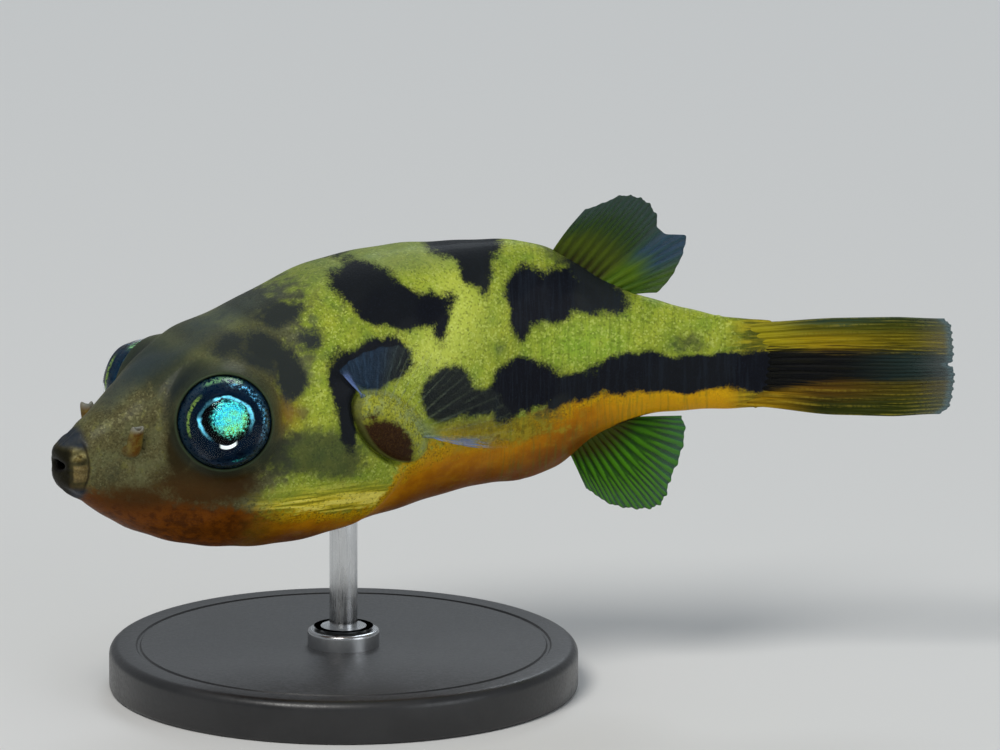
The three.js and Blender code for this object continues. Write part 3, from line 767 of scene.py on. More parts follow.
# Fine upright streaks on the rear body, and dark blotches with frayed, grainy edges
striae = fish.stretch((9, 0.5, 0.8)).noise(1, 3, 0.6)
streaked = fish_s.where(14, 15.5)
frayed = blotch + patchy.where(0.25, 0.75, -0.06, 0.14) + grain.where(0.2, 0.8, -0.1, 0.1)
covered = hide.node(
    "MapRange", {"Value": frayed, "From Min": black.where(0.2, 0.7, -0.34, -0.18), "From Max": 0.12},
    interpolation_type="SMOOTHSTEP")
ink = hide.coats(
    hide.mix(black.where(0.1, 1), (0.028, 0.034, 0.03), (0.003, 0.004, 0.008)),
    (grain.where(0.5, 0.75) * 0.3, (0.02, 0.028, 0.05)),
    (striae.where(0.45, 0.7, 0, 0.35) * streaked, (0.016, 0.024, 0.036)),
)
root_streaks = fish.stretch((0.5, 3, 8)).noise(1, 3, 0.6).where(0.4, 0.62)
# Lobe of the pectoral fin: yellow-green above, maroon below, with a thin pale rim
speckled = lobe_brown + grain.where(0.2, 0.8, -0.25, 0.25) + patchy.where(0.3, 0.7, -0.25, 0.25)
lobe_paint = hide.coats(
    hide.mix(grain.where(0.35, 0.65), (0.17, 0.19, 0.02), (0.45, 0.46, 0.04)),
    (patchy.where(0.4, 0.65, 0, 0.7), (0.3, 0.36, 0.14)),
    (dark_cells * 0.6, (0.06, 0.06, 0.006)),
    (speckled.where(0.15, 0.75),
     hide.mix(grain.where(0.4, 0.75), (0.024, 0.008, 0.002), (0.065, 0.032, 0.007))),
)
pigment = hide.coats(
    hide.mix((head + coarse.where(0.3, 0.7, -0.3, 0.3)).where(0.15, 0.75), lime, olive),
    (ochre * 0.65, (0.3, 0.17, 0.012)),
    # Painted highlights and sheen
    (glint * patchy.where(0.35, 0.65, 0.2, 0.85), (0.19, 0.21, 0.075)),
    (rough_edge(gold, 0.1, 0.8, 0.14), gilt),
    (rough_edge(belly, -0.5, 0.05, 0.3) * behind_head, amber),
    (rough_edge(belly, 0.1, 0.8, 0.25) * behind_head, orange),
    # Deep orange low under the belly: partly its colour, partly painted shade
    (belly.where(0.6, 2, 0, 0.9) * behind_head, (0.15, 0.038, 0.001)),
    (rear * 0.6 * belly.where(0, 0.3), (0.8, 0.43, 0.006)),
    (rough_edge(olive_gold, 0.1, 0.8, 0.3, 0.8), tarnish),
    # Deep orange under the head and chin: partly its colour, partly painted shade
    (rough_edge(belly, -0.45, 0.5, 0.25) * in_front, deep_orange_and_shade),
    # Umber of the dark wedge below the eye, and painted shade under the chin
    (rough_edge(wedge_and_chin_shade, 0.15, 0.7, 0.12, 0.93), umber),
    (rough_edge(haze, 0.15, 0.9, 0.2, 0.8), (0.026, 0.035, 0.024)),
    (back_blue * 0.75, (0.03, 0.048, 0.058)),
    (striae.where(0.45, 0.7, 0, 0.4) * streaked, (0.09, 0.14, 0.015)),
    (tail_root * 0.85, hide.mix(root_streaks, (0.06, 0.055, 0.004), (0.4, 0.31, 0.012))),
    (covered, ink),
    (lobe, lobe_paint),
    (lobe_edge * 0.75, (0.17, 0.18, 0.05)),
    # Painted shade in the fold over the eye
    (eye_fold_and_shade * 0.85, (0.012, 0.018, 0.022)),
    # Round the eye: a darker ring on the socket, a thin olive-teal line on the lid, and painted shade in the
    # narrow gap where the lid meets the eyeball
    (eye_distance.where(1.95, 1.65, 0, 0.55), (0.022, 0.032, 0.022)),
    (eye_distance.where(1.62, 1.56, 0, 0.8), (0.04, 0.06, 0.03)),
    (eye_distance.where(1.52, 1.49), (0.004, 0.01, 0.014)),
    (lips * 0.8, hide.mix(patchy.where(0.35, 0.65), (0.024, 0.019, 0.006), (0.075, 0.06, 0.022))),
    # Blue-grey on the lips, and a painted blue highlight under them
    (lip_blue_and_highlight * 0.7, (0.02, 0.033, 0.058)),
    # Cream pleats striped with painted light and shade
    (cream, hide.mix(patchy.where(0.4, 0.6), (0.16, 0.11, 0.02), (0.5, 0.43, 0.18))),
    (plate * 0.85, hide.mix(grain.where(0.35, 0.7), (0.14, 0.1, 0.035), (0.25, 0.19, 0.075))),
    # Painted shade on the front of the muzzle
    (muzzle_front_shade * 0.95, (0.007, 0.006, 0.002)),
    # Painted shade in the lip's creases
    (lip_crease_shade * 0.85, (0.014, 0.009, 0.003)),
    # Painted shade in the throat
    (throat_shade, (0.004, 0.003, 0.002)),
    (nostril, hide.mix(patchy.where(0.4, 0.6), (0.13, 0.055, 0.006), (0.2, 0.13, 0.02))),
    (nostril_tip, (0.25, 0.26, 0.23)),
)
hide.finish(
    base_color=pigment,
    roughness=grain.where(0.2, 0.8, 0.4, 0.6),
    metallic=flecks * frayed.where(0.05, -0.1) * 0.5,
    normal=hide.bump(grain * 0.45 + cell_value * 0.25 + wrinkles * gold * 2, 0.6, 0.00004),
    ior=1.2,
    specular_ior_level=0.35,
    coat_weight=0.05,
    coat_roughness=0.16,
)

skin.data.vertices.foreach_set("co", on_spine(straight).ravel())
skin.data.update()
bpy.ops.object.select_all(action="DESELECT")
skin.select_set(True)
bpy.context.view_layer.objects.active = skin
bpy.ops.object.shade_smooth()
skin.data.materials.append(hide.material)
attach(skin, "root")
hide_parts("head", "trunk", "tail")

# ---- Eyes ---------------------------------------------------------------------------------------
# Each eye is a painted glass ball with a deep pupil, under a clear domed shell. It sits in its socket
# with the skin's rim close round it.
SIDES = {1: "left", -1: "right"}
# From the middle of the pupil to the edge of the iris: share, distance from the axis, height
IRIS_PROFILE = [
    (0, 0, 1.36), (0.2, 0.3, 1.33), (0.4, 0.58, 1.23), (0.52, 0.74, 1.13), (0.58, 0.79, 1.13),
    (0.62, 0.83, 1.17), (0.68, 0.89, 1.15), (0.75, 0.98, 1.06), (0.88, 1.2, 0.8), (1, 1.42, 0.26),
]
IRIS_ANGLE = math.radians(80)
BALL_RADIUS = 1.44
BALL_RIM = math.acos(0.24 / BALL_RADIUS)
PUPIL_SHIFT = np.array([0.03, 0.15])
SHELL_THICK, SHELL_BULGE, SHELL_SHARE = 0.05, 0.035, 82 / 90

iris_paint = Paint("painted_iris")
disc_x, disc_y, disc_out = iris_paint.layer("disc")
disc = iris_paint.node("Attribute", output="Vector", attribute_name="disc")
spark = disc.noise(11, 3, 0.75)
blur = disc.noise(3, 2, 0.5)
glitter = spark.where(0.5, 0.66)


def from_middle(x, y):
    return iris_paint.math("SQRT", x * x + y * y)


def arc(radius, width, middle, reach, distance, direction):
    """A soft arc round its middle direction."""
    ring = abs(distance - radius).where(width, width * 0.2)
    turned = direction - math.radians(middle)
    turned = iris_paint.node("Math", {0: turned, 1: math.pi, 2: -math.pi}, operation="WRAP")
    return ring * abs(turned).where(math.radians(reach), math.radians(reach * 0.6))


disc_angle = iris_paint.math("ARCTAN2", disc_y, disc_x)
pupil_x, pupil_y = disc_x - float(PUPIL_SHIFT[0]), disc_y - float(PUPIL_SHIFT[1])
pupil_edge = from_middle(pupil_x, pupil_y * 1.16) + blur.where(0.3, 0.7, -0.03, 0.03)
pupil_angle = iris_paint.math("ARCTAN2", pupil_y, pupil_x)
pupil_rim = arc(0.84, 0.085, 105, 140, pupil_edge, pupil_angle) * spark.where(0.3, 0.5)
pupil_rim = pupil_rim * arc(0.84, 0.3, 148, 34, pupil_edge, pupil_angle).where(0, 1, 1, 0.25)
inside_pupil = from_middle(pupil_x, pupil_y).where(0.8, 0.76)
blue_arc = arc(1.28, 0.13, 26, 66, disc_out, disc_angle) * glitter
# The reflex deep in the pupil is a painted reflection of light from the back of the eye, and it glows:
# turquoise, greener towards its lower front, with dark veins
reflex_x, reflex_y = pupil_x - 0.13, pupil_y - 0.07
painted_reflex = from_middle(reflex_x, reflex_y) + spark.where(0.3, 0.7, 0.12, -0.12)
painted_reflex = painted_reflex.where(0.66, 0.42) * inside_pupil
warmer = reflex_x * 0.6 - reflex_y + blur.where(0.3, 0.7, -0.25, 0.25)
veins = iris_paint.node("TexVoronoi", {"Vector": disc, "Scale": 16}, feature="DISTANCE_TO_EDGE")
reflex_colour = iris_paint.coats(
    iris_paint.mix(warmer.where(-0.35, 0.5), (0.03, 0.62, 0.85), (0.25, 0.75, 0.16)),
    (spark.where(0.44, 0.64), (0.14, 0.95, 0.78)),
    (veins.where(0.12, 0.02, 0, 0.75), (0.004, 0.04, 0.03)),
)
# A white crescent at the lower edge of the pupil: a painted highlight, which also glows.
crescent_highlight = abs(pupil_y - pupil_x * pupil_x * 1.3 + 0.87).where(0.075, 0.04)
crescent_highlight = crescent_highlight * abs(pupil_x - 0.07).where(0.31, 0.2)
iris = iris_paint.coats(
    iris_paint.mix(blur, (0.0005, 0.003, 0.007), (0.002, 0.015, 0.042)),
    (disc_out.where(1.1, 1.4, 0, 0.7), (0.006, 0.035, 0.08)),
    (blue_arc, (0.18, 0.65, 1)),
    (arc(1.17, 0.07, 165, 40, disc_out, disc_angle) * spark.where(0.36, 0.6), (0.3, 0.48, 0.08)),
    (arc(1.36, 0.09, 92, 32, disc_out, disc_angle) * spark.where(0.42, 0.6), (0.22, 0.5, 0.2)),
    # A small painted teal glint low on the iris
    (arc(1.24, 0.08, -68, 14, disc_out, disc_angle) * glitter, (0.05, 0.55, 0.5)),
    (inside_pupil, (0.0015, 0.002, 0.003)),
    (painted_reflex, reflex_colour),
    (pupil_rim, (0.18, 0.72, 0.95)),
    (crescent_highlight, (0.95, 1, 0.98)),
)
# The reflex, the rim of the pupil, the crescent highlight and the blue arc glow a little, though they are no
# lamp: painted light.
iris_paint.finish(
    base_color=iris,
    roughness=spark.where(0.3, 0.7, 0.2, 0.45),
    emission_color=iris_paint.mix(
        painted_reflex.most(pupil_rim).most(crescent_highlight).most(blue_arc * 0.9), (0, 0, 0), iris),
    emission_strength=0.55,
    specular_ior_level=0.05,
    normal=iris_paint.bump(spark, 0.12, 0.00002),
)

cornea_glass = Paint("clear_cornea")
smear = cornea_glass.node("Attribute", output="Vector", attribute_name="disc").noise(4)
cornea_glass.finish(
    base_color=(0.96, 0.99, 1),
    roughness=smear.where(0.4, 0.7, 0, 0.03),
    transmission_weight=1,
    ior=1.11,
)


def add_eye_piece(name, side, segments, rings, shape):
    """A ball with its pole on the line of sight, shaped by a function of the angle from it."""
    ball = new_piece(
        name, bpy.ops.mesh.primitive_uv_sphere_add, segments=segments, ring_count=rings, radius=1)
    points = read_vectors(ball.data.vertices, "co")
    polar, turn = np.arccos(np.clip(points[:, 2], -1, 1)), np.arctan2(points[:, 1], points[:, 0])
    radius, height, shift = shape(polar)
    flat = (radius * (np.cos(turn), np.sin(turn))).T + shift
    flat[:, 0] *= side
    centre, level, lift, sight = eye_axes(side)
    placed = on_spine(centre + flat[:, :1] * level + flat[:, 1:] * lift + height[:, None] * sight)
    ball.data.vertices.foreach_set("co", placed.ravel())
    write_vectors(ball.data, "disc", *flat.T, np.hypot(*flat.T))
    bpy.ops.object.mode_set(mode="EDIT")
    leave_edit_mode()
    bpy.ops.object.shade_smooth()
    return ball


def iris_shape(polar):
    front = polar < IRIS_ANGLE
    radius, height = through(IRIS_PROFILE, np.clip(polar / IRIS_ANGLE, 0, 1)).T
    back = BALL_RIM + (polar - IRIS_ANGLE) * (math.pi - BALL_RIM) / (math.pi - IRIS_ANGLE)
    radius = np.where(front, radius, BALL_RADIUS * np.sin(back))
    height = np.where(front, height, BALL_RADIUS * np.cos(back))
    return radius, height, PUPIL_SHIFT * (smooth_step(1.41 - radius, 0, 0.6) * front)[:, None]


def cornea_shape(polar):
    inner = polar > math.radians(90)
    sweep = np.where(inner, math.pi - polar, polar) * SHELL_SHARE
    radius = np.where(inner, EYE_RADIUS - SHELL_THICK, EYE_RADIUS) + SHELL_BULGE * np.cos(sweep) ** 8
    return radius * np.sin(sweep), radius * np.cos(sweep), 0


for side, which in SIDES.items():
    ball = add_eye_piece(f"eyeball_{which}", side, 72, 56, iris_shape)
    ball.data.materials.append(iris_paint.material)
    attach(ball, "root")
    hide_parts(f"eye_{which}")
    shell = add_eye_piece(f"cornea_{which}", side, 64, 40, cornea_shape)
    shell.data.materials.append(cornea_glass.material)
    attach(shell, "root")

# ---- Beak ---------------------------------------------------------------------------------------
# Two bone-white plates stand just inside the lips. Each is one curved plate, a little stained.
beak_paint = Paint("beak_enamel")


def in_mm(paint):
    """Places on a piece in millimetres."""
    return paint.node("TexCoord", output="Object").stretch((1000, 1000, 1000))


stain = in_mm(beak_paint).noise(3, 4, 0.6)
growth = in_mm(beak_paint).stretch((2, 2, 14)).noise(1)
enamel = beak_paint.mix(stain.where(0.35, 0.7), (0.62, 0.56, 0.4), (0.36, 0.27, 0.12))
beak_paint.finish(
    base_color=beak_paint.mix(growth.where(0.45, 0.7, 0, 0.4), enamel, (0.75, 0.72, 0.6)),
    roughness=stain.where(0.3, 0.7, 0.18, 0.35),
    coat_weight=0.4,
    normal=beak_paint.bump(growth, 0.3, 0.00001),
)
for plate in ("upper_beak", "lower_beak"):
    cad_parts[plate].data.materials.clear()
    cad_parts[plate].data.materials.append(beak_paint.material)

# ---- Upright fins -------------------------------------------------------------------------------
# The back, belly and tail fins are thin clear webs on soft branching rays, thick only at the root.
# They stand in the upright middle plane of the rear body, with their roots sunk in the hide.
def ray_waves(u, count):
    """1 on each ray and 0 between two, for whole rays and for their two branches."""
    return 0.5 + 0.5 * np.cos(2 * math.pi * u * count), 0.5 + 0.5 * np.cos(4 * math.pi * u * count + 0.9)


def fin_sheet(name, columns, rows, count):
    """A flat grid with a web map, u along the root and v along the rays, and how high its rays stand."""
    web = new_piece(
        name, bpy.ops.mesh.primitive_grid_add,
        x_subdivisions=columns, y_subdivisions=rows, size=1, calc_uvs=True)
    u, v = read_vectors(web.data.vertices, "co")[:, :2].T + 0.5
    single, double = ray_waves(u, count)
    branch = smooth_step(v, 0.4, 0.75)
    return web, u, v, single * (1 - branch) + double * branch * 0.8


def fan_points(u, v, root, rays, count, sink, scallop=0.04):
    """Points of a fan in its own plane: a root line, and rays given by share, angle and length."""
    angle, length = through(rays, u).T
    foot = np.array(root[0]) + (np.array(root[1]) - np.array(root[0])) * u[:, None]
    single, double = ray_waves(u, count)
    length = length * (1 - scallop * (1 - 0.65 * single - 0.35 * double))
    reach = -sink + v * (length + sink)
    return foot + (reach * (np.cos(np.radians(angle)), np.sin(np.radians(angle)))).T


def finish_fin(web, v, paint, node, thin=0.045, root=0.26):
    """Gives a web its thickness in millimetres, thicker at the root, and its paint and place."""
    group = web.vertex_groups.new(name="thickness")
    for i, share in enumerate(thin / root + (1 - thin / root) * (1 - smooth_step(v, 0, 0.28))):
        group.add([i], float(share), "REPLACE")
    wall = web.modifiers.new("web", "SOLIDIFY")
    wall.thickness = root * MM
    wall.offset = 0
    wall.vertex_group = "thickness"
    wall.thickness_vertex_group = 0
    bpy.ops.object.modifier_apply(modifier="web")
    bpy.ops.object.shade_smooth()
    web.data.materials.append(paint.material)
    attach(web, "root")
    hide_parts(node)


def stand_upright(web, points, offset):
    """Lays points of the middle plane (distance behind the snout tip, height) out, moved sideways."""
    x, up = points.T
    placed = np.stack([x - rod_x, tail_y - rod_y - offset, AXIS_HEIGHT + up], 1) * MM
    web.data.vertices.foreach_set("co", placed.ravel())


RAY_OUTPUTS = ("Ray", "Web noise", "Along", "Across")


def web_group():
    """Shared effect: the rays of a web from its map, with branches, joints and fine hairs."""
    tree = bpy.data.node_groups.new("web_rays", "ShaderNodeTree")
    tree.interface.new_socket("Rays", in_out="INPUT", socket_type="NodeSocketFloat")
    tree.interface.new_socket("Map", in_out="INPUT", socket_type="NodeSocketVector")
    for name in RAY_OUTPUTS:
        tree.interface.new_socket(name, in_out="OUTPUT", socket_type="NodeSocketFloat")
    given = tree.nodes.new("NodeGroupInput")
    result = tree.nodes.new("NodeGroupOutput")
    paint = Paint("web_rays", tree)
    rays, web_map = (Value(paint, given.outputs[name]) for name in ("Rays", "Map"))
    u, v, _ = web_map.parts()
    phase = u * rays * (2 * math.pi) + web_map.stretch((9, 1.6, 1)).noise(1, 2).where(0.3, 0.7, -0.5, 0.5)
    single = paint.math("COSINE", phase) * 0.5 + 0.5
    double = paint.math("COSINE", phase * 2 + 0.9) * 0.5 + 0.5
    branch = v.where(0.4, 0.75)
    joints = web_map.stretch((20, 60, 1)).noise(1, 1).where(0.3, 0.6, 0.75, 1)
    ray = (single * (1 - branch) + double * branch) * joints
    for name, value in zip(RAY_OUTPUTS, (ray, web_map.stretch((140, 5, 1)).noise(1, 3, 0.6), v, u)):
        tree.links.new(value.socket, result.inputs[name])
    return tree


WEB_RAYS = web_group()


def web_paint(name, rays):
    """A new web material with the shared ray effect in it."""
    paint = Paint(name)
    group = paint.tree.nodes.new("ShaderNodeGroup")
    group.node_tree = WEB_RAYS
    group.inputs["Rays"].default_value = rays
    paint.put(group.inputs["Map"], paint.node("TexCoord", output="UV"))
    return paint, *(Value(paint, group.outputs[name]) for name in RAY_OUTPUTS)


def finish_web(paint, colour, alpha, ray, fibre):
    paint.finish(
        base_color=colour,
        alpha=alpha,
        roughness=fibre.where(0.3, 0.7, 0.35, 0.55),
        ior=1.2,
        specular_ior_level=0.3,
        coat_weight=0.03,
        coat_roughness=0.2,
        normal=paint.bump(ray + fibre * 0.5, 0.6, 0.00003),
    )
    paint.material.use_backface_culling = False


# Fin of the back
DORSAL_RAYS = 11
dorsal, u, v, ridge = fin_sheet("fin_of_the_back", 132, 26, DORSAL_RAYS)
points = fan_points(u, v, [(15.87, 4.05), (18.3, 2.66)], [
    (0, 55, 1.75), (0.1, 53, 2.25), (0.2, 52, 2.76), (0.4, 49, 2.98), (0.55, 44.5, 2.76), (0.62, 41, 2.45),
    (0.655, 37, 2.5), (0.72, 32, 2.9), (0.82, 26, 2.35), (0.92, 18, 1.6), (1, 6, 0.85),
], DORSAL_RAYS, 0.7, 0.028)
points += (np.sin(math.pi * v) * 0.08 * (1 - smooth_step(u, 0, 0.5)))[:, None] * (-0.82, 0.57)
offset = 0.035 * ridge * (1 - 0.5 * v) + 0.16 * np.sin(4.2 * u + 2.2 * v) * v ** 1.3
stand_upright(dorsal, points, offset + (0.05 * np.sin(9 * u) + 0.1 * smooth_step(u, 0.6, 0.68)) * v)
paint, ray, fibre, along_ray, across = web_paint("web_of_the_back", DORSAL_RAYS)
rear_lobe = paint.coats(
    paint.mix(along_ray.where(0.4, 0.75), (0.075, 0.15, 0.003), (0.01, 0.05, 0.11)),
    (across.where(0.78, 0.9), (0.04, 0.1, 0.004)),
)
colour = paint.coats(
    paint.mix(along_ray.where(0.18, 0.4), (0.02, 0.014, 0.002), (0.05, 0.07, 0.003)),
    (along_ray.where(0.4, 0.7), (0.012, 0.045, 0.012)),
    (along_ray.where(0.65, 0.95), (0.012, 0.046, 0.04)),
    (across.where(0.6, 0.68), rear_lobe),
    (fibre.where(0.35, 0.7, 0, 0.5), (0.015, 0.025, 0.012)),
    (ray * along_ray.where(1, 0.2, 0.12, 0.4), (0.1, 0.15, 0.012)),
)
finish_web(paint, colour, along_ray.where(0.3, 1, 0.95, 0.78) + ray * 0.1, ray, fibre)
finish_fin(dorsal, v, paint, "dorsal_fin")

# Fin of the belly, behind the vent
ANAL_RAYS = 12
anal, u, v, ridge = fin_sheet("fin_of_the_belly", 144, 26, ANAL_RAYS)
points = fan_points(u, v, [(16.45, -2.72), (18.4, -1.38)], [
    (0, -66, 1.15), (0.08, -65, 1.55), (0.15, -63.5, 1.95), (0.3, -57.5, 2.52), (0.45, -51.5, 2.9),
    (0.55, -47.5, 2.84), (0.68, -39.5, 2.44), (0.82, -21, 2.1), (0.92, -5, 1.85), (1, 3, 1.55),
], ANAL_RAYS, 0.4, 0.035)
stand_upright(anal, points, 0.045 * ridge * (1 - 0.4 * v) + 0.14 * np.sin(3.8 * u - 2.6 * v + 0.6) * v ** 1.3)
paint, ray, fibre, along_ray, across = web_paint("web_of_the_belly", ANAL_RAYS)
lit = ray.where(0.25, 0.75) * along_ray.where(0.12, 0.45, 0.15, 0.8)
colour = paint.coats(
    paint.mix(along_ray.where(0.15, 0.42), (0.04, 0.022, 0.001), (0.016, 0.07, 0.002)),
    (along_ray.where(0.6, 1), (0.012, 0.11, 0.035)),
    (lit * across.where(0.5, 0.95, 1, 0.6), (0.075, 0.26, 0.006)),
    (ray.where(0.2, 0.02) * 0.5, (0.006, 0.018, 0.005)),
    (fibre.where(0.4, 0.75, 0, 0.4), (0.02, 0.05, 0.02)),
)
finish_web(paint, colour, along_ray.where(0.3, 1, 0.95, 0.78) + ray * 0.08, ray, fibre)
finish_fin(anal, v, paint, "anal_fin")

# Fin of the tail: its rays lie closed, nearly side by side
CAUDAL_RAYS = 13
caudal, u, v, ridge = fin_sheet("fin_of_the_tail", 156, 40, CAUDAL_RAYS)
points = fan_points(u, v, [(22.6, 1.72), (22.6, -1.02)], [
    (0, 0.6, 5.75), (0.06, 0.6, 5.95), (0.2, 0.3, 6.02), (0.44, 0, 6.05), (0.5, 0, 5.9), (0.56, 0, 6.08),
    (0.8, -0.4, 6.04), (0.94, -0.9, 5.9), (1, -1, 5.6),
], CAUDAL_RAYS, 0.9, 0.012)
spreading = smooth_step(v, 0.05, 0.5) - 0.45 * smooth_step(v, 0.75, 1)
points[:, 1] += spreading * np.where(u < 0.5, 0.3, 0.5) * (0.5 - u)
waves = (0.1 * np.sin(5 * u + 1.5 * v) + 0.07 * np.sin(11 * u + 3 * v)) * v
stand_upright(caudal, points, 0.04 * ridge * (1 - 0.3 * v) + waves)
paint, ray, fibre, along_ray, across = web_paint("web_of_the_tail", CAUDAL_RAYS)
drift = across + fibre.where(0.25, 0.75, -0.045, 0.045)
widen = along_ray.where(0.05, 0.5, 0.09, 0)
streak = (drift + widen).where(0.32, 0.4) * (drift - widen * 1.9).where(0.71, 0.62)
root_gold = paint.mix(drift.where(0.5, 0.6), (0.42, 0.36, 0.01), (0.42, 0.24, 0.004))
colour = paint.coats(
    paint.mix(drift.where(0.03, 0.08), (0.04, 0.075, 0.04), (0.11, 0.11, 0.006)),
    (drift.where(0.1, 0.22), (0.36, 0.25, 0.002)),
    (drift.where(0.27, 0.36), (0.08, 0.035, 0.002)),
    (drift.where(0.62, 0.7), (0.12, 0.055, 0.003)),
    (drift.where(0.74, 0.92), (0.022, 0.026, 0.001)),
    (along_ray.where(0.3, 0.85, 0, 0.65), (0.045, 0.06, 0.004)),
    (along_ray.where(0.42, 0.12, 0, 0.75), root_gold),
    (streak, paint.mix(along_ray.where(0.45, 0.95), (0.0025, 0.003, 0.004), (0.018, 0.038, 0.034))),
    (fibre.where(0.42, 0.7, 0, 0.55), (0.012, 0.011, 0.002)),
    (ray.where(0.6, 1) * (1 - streak) * fibre.where(0.35, 0.6, 0.4, 0), (0.4, 0.32, 0.03)),
    (along_ray.where(0.955, 0.99, 0, 0.8), (0.06, 0.13, 0.15)),
)
finish_web(paint, colour, along_ray.where(0.75, 1, 0.97, 0.72), ray, fibre)
finish_fin(caudal, v, paint, "caudal_fin", 0.08, 0.3)

# ---- Paddle fins --------------------------------------------------------------------------------
# Each pectoral fin is a nearly clear fan held out from the flank. It stands on the upper edge of its
# fleshy lobe, with a whiter first ray.
PECTORAL_AT, PECTORAL_UP, PECTORAL_ROOT = 10.85, -0.2, 3.2
PECTORAL_SLOPE, PECTORAL_SPREAD = math.radians(-34), math.radians(36)
PECTORAL_RAYS = 14
paint, ray, fibre, along_ray, across = web_paint("clear_web", PECTORAL_RAYS)
first_ray = across.where(0.06, 0.02) * along_ray.where(1, 0.7)
last_ray = across.where(0.91, 0.96) * fibre.where(0.64, 0.4) * along_ray.where(0.9, 0.6)
edge_ray = first_ray.most(last_ray)
colour = paint.coats(
    paint.mix(across.where(0.2, 0.4), (0.05, 0.11, 0.2), (0.3, 0.38, 0.22)),
    (along_ray.where(0.4, 0.1), (0.3, 0.38, 0.16)),
    (edge_ray, (0.2, 0.3, 0.62)),
)
alpha = ray.where(0.72, 1) * along_ray.where(0.1, 1, 0.28, 0.1) * across.where(0.35, 0.65, 1, 0.5)
alpha = alpha + across.where(0.36, 0.14, 0.02, 0.28) * fibre.where(0.35, 0.75, 0.4, 1)
alpha = alpha.most(edge_ray * 0.65).most(along_ray.where(0.26, 0.1, 0, 0.5))
finish_web(paint, colour, alpha, ray, fibre)
turn = float(heading(PECTORAL_AT))
back = np.array([math.cos(turn), math.sin(turn), 0])
left = np.array([math.sin(turn), -math.cos(turn), 0])
rise = np.array([0, 0, 1])
slope = back * math.cos(PECTORAL_SLOPE) + rise * math.sin(PECTORAL_SLOPE)
across_root = -back * math.sin(PECTORAL_SLOPE) + rise * math.cos(PECTORAL_SLOPE)
root_out = float(skin_out(PECTORAL_AT, PECTORAL_UP)[0]) + 0.1
for side, which in SIDES.items():
    web, u, v, ridge = fin_sheet(f"paddle_fin_{which}", 112, 22, PECTORAL_RAYS)
    flat = fan_points(u, v, [(-PECTORAL_ROOT / 2, 0), (PECTORAL_ROOT / 2, 0)], [
        (0, 166, 1), (0.08, 146, 1.45), (0.25, 119, 2.3), (0.5, 97, 2.72), (0.75, 70, 2.86), (0.9, 40, 2.75),
        (1, 17, 2.35),
    ], PECTORAL_RAYS, 0.3, 0.05)
    spread = across_root * math.cos(PECTORAL_SPREAD) + left * side * math.sin(PECTORAL_SPREAD)
    face = np.cross(slope, spread)
    face *= np.sign(face @ left) * side
    cup = 0.03 * ridge - 0.35 * v ** 2 * (0.4 + u) + 0.06 * np.sin(8 * u + 2 * v) * v
    placed = on_spine([[PECTORAL_AT, side * root_out, PECTORAL_UP]])
    placed = placed + (flat[:, :1] * slope + flat[:, 1:] * spread + cup[:, None] * face) * MM
    web.data.vertices.foreach_set("co", placed.ravel())
    finish_fin(web, v, paint, f"pectoral_fin_{which}", 0.035, 0.16)

# ---- Stand --------------------------------------------------------------------------------------
# A turned disc in satin black holds a drawn steel rod with a small turned collar at its foot. The rod
# is glued into the disc and into the belly.
BASE_RADIUS, BASE_THICK, BASE_BEVEL = 7.5, 1.4, 0.3
ROD_RADIUS, ROD_FOOT, ROD_TOP = 0.45, 0.56, 6.96
COLLAR_RADIUS, COLLAR_TOP = 1.15, 1.92


def turned_piece(name, radius, low, high, sides):
    """A cylinder between two heights on the stand's axis, left in edit mode."""
    made = new_piece(
        name, bpy.ops.mesh.primitive_cylinder_add,
        vertices=sides, radius=radius * MM, depth=(high - low) * MM, location=(0, 0, 0))
    bpy.ops.object.mode_set(mode="EDIT")
    bpy.ops.mesh.select_all(action="SELECT")
    bpy.ops.transform.translate(value=(0, 0, (low + high) / 2 * MM))
    return made


def bevel_rim(height, width, segments, profile=0.5):
    """Rounds the edge of the flat face at a height."""
    bpy.ops.mesh.select_all(action="DESELECT")
    for e in edited().edges:
        flat = [all(abs(v.co.z - height * MM) < 1e-7 for v in f.verts) for f in e.link_faces]
        if flat.count(True) == 1:
            e.select = True
    refresh()
    bpy.ops.mesh.bevel(offset=width * MM, segments=segments, profile=profile, affect="EDGES")


def inset(height, *steps):
    """Insets the flat face at a height, step by step: width and, for a groove's walls, rise."""
    bpy.ops.mesh.select_all(action="DESELECT")
    for f in edited().faces:
        if all(abs(v.co.z - height * MM) < 1e-7 for v in f.verts):
            f.select = True
    refresh()
    for width, rise in steps:
        bpy.ops.mesh.inset(thickness=width * MM, depth=rise * MM)


def close_piece(piece, paint, node):
    leave_edit_mode()
    bpy.ops.object.shade_smooth_by_angle(angle=math.radians(40))
    piece.data.materials.append(paint.material)
    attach(piece, "root")
    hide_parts(node)


satin = Paint("satin_black_paint")
mist = in_mm(satin).noise(9, 3, 0.6)
cloud = in_mm(satin).noise(0.5, 3, 0.6)
satin.finish(
    base_color=satin.mix(cloud.where(0.35, 0.65), (0.011, 0.011, 0.012), (0.017, 0.017, 0.018)),
    roughness=(mist + cloud).where(0.8, 1.2, 0.32, 0.46),
    coat_weight=0.15,
    coat_roughness=0.3,
    normal=satin.bump(mist, 0.25, 0.00002),
)
steel = Paint("drawn_steel")
lines = in_mm(steel).stretch((6, 6, 0.25)).noise(4)
smudge = in_mm(steel).noise(0.9, 3, 0.6)
steel.finish(
    base_color=steel.mix(smudge.where(0.3, 0.7), (0.56, 0.57, 0.58), (0.66, 0.67, 0.68)),
    metallic=1,
    roughness=(lines + smudge).where(0.7, 1.3, 0.14, 0.34),
    normal=steel.bump(lines, 0.15, 0.00001),
)
turned_steel = Paint("turned_steel")
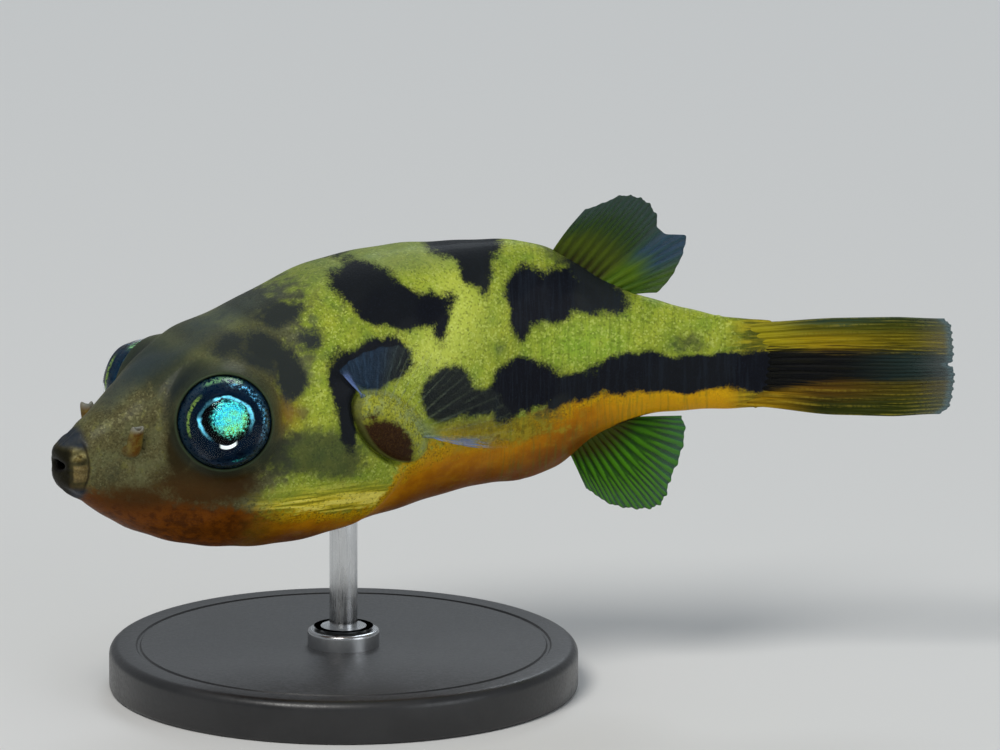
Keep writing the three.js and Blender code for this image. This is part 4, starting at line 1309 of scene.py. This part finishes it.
rings_cut = turned_steel.node(
    "TexWave", {"Vector": in_mm(turned_steel), "Scale": 5, "Distortion": 0.4},
    output="Fac", wave_type="RINGS", rings_direction="Z")
turned_steel.finish(
    base_color=turned_steel.mix(rings_cut, (0.5, 0.51, 0.52), (0.62, 0.63, 0.64)),
    metallic=1,
    roughness=rings_cut.where(0, 1, 0.22, 0.32),
    normal=turned_steel.bump(rings_cut, 0.2, 0.00001),
)

base = turned_piece("stand_disc", BASE_RADIUS, 0, BASE_THICK, 160)
bevel_rim(BASE_THICK, BASE_BEVEL, 5)
bevel_rim(0, BASE_BEVEL / 2, 3)
inset(BASE_THICK, (0.55, 0), (0.05, -0.05), (0.08, 0), (0.05, 0.05))
inset(0, (0.8, 0), (0.1, -0.12))
close_piece(base, satin, "stand_base")

collar = turned_piece("stand_ferrule", COLLAR_RADIUS, BASE_THICK - 0.01, COLLAR_TOP, 96)
inset(COLLAR_TOP, (0.2, 0))
bevel_rim(COLLAR_TOP, 0.12, 4, 0.6)
inset(COLLAR_TOP, (0.38, 0), (0.08, -0.1))
close_piece(collar, turned_steel, "stand_collar")

rod = turned_piece("stand_pin", ROD_RADIUS, ROD_FOOT, ROD_TOP, 64)
bevel_rim(ROD_TOP, 0.08, 3)
bevel_rim(ROD_FOOT, 0.08, 3)
close_piece(rod, steel, "stand_rod")

# ---- Floor, light and camera --------------------------------------------------------------------
# A pale sheet of paper under the stand, a large soft key light with a fill and a rim, and a camera a
# little above the fish on its left side.
floor = new_piece("floor", bpy.ops.mesh.primitive_plane_add, size=4)
paper = Paint("floor_paper")
paper.finish(base_color=(0.75, 0.75, 0.74), roughness=0.9)
floor.data.materials.append(paper.material)

world = bpy.data.worlds.new("studio")
bpy.context.scene.world = world
world.use_nodes = True
world.node_tree.nodes["Background"].inputs["Color"].default_value = (0.9, 0.95, 1, 1)
world.node_tree.nodes["Background"].inputs["Strength"].default_value = 0.3


def soft_light(name, place, size, power, colour):
    bpy.ops.object.light_add(type="AREA", location=[c * MM for c in place])
    lamp = bpy.context.object
    lamp.name = name
    lamp.data.shape = "DISK"
    lamp.data.size = size * MM
    lamp.data.energy = power
    lamp.data.color = colour
    aim = Vector((0, 0, AXIS_HEIGHT * MM)) - lamp.location
    lamp.rotation_euler = aim.to_track_quat("-Z", "Y").to_euler()


soft_light("key", (-90, -170, 260), 140, 0.55, (1, 0.98, 0.94))
soft_light("fill", (200, -160, 90), 160, 0.12, (0.92, 0.96, 1))
soft_light("rim", (40, 220, 200), 120, 0.15, (0.85, 0.93, 1))

CAMERA_DOWN = math.radians(14)
CAMERA_DISTANCE = 1
# The picture is 1000 points wide, and a millimetre of the fish takes up 31.3 of them
FRAME_WIDTH = 1000 / 31.3 * MM
camera_data = bpy.data.cameras.new("camera")
camera = bpy.data.objects.new("camera", camera_data)
bpy.context.scene.collection.objects.link(camera)
look = Vector((0, math.cos(CAMERA_DOWN), -math.sin(CAMERA_DOWN)))
camera.location = Vector((5, tail_y - rod_y, AXIS_HEIGHT)) * MM - look * CAMERA_DISTANCE
camera.rotation_euler = look.to_track_quat("-Z", "Y").to_euler()
camera_data.sensor_width = 36
camera_data.lens = camera_data.sensor_width * CAMERA_DISTANCE / FRAME_WIDTH
camera_data.clip_start, camera_data.clip_end = 0.05, 10
bpy.context.scene.camera = camera
bpy.context.scene.view_settings.view_transform = "Standard"
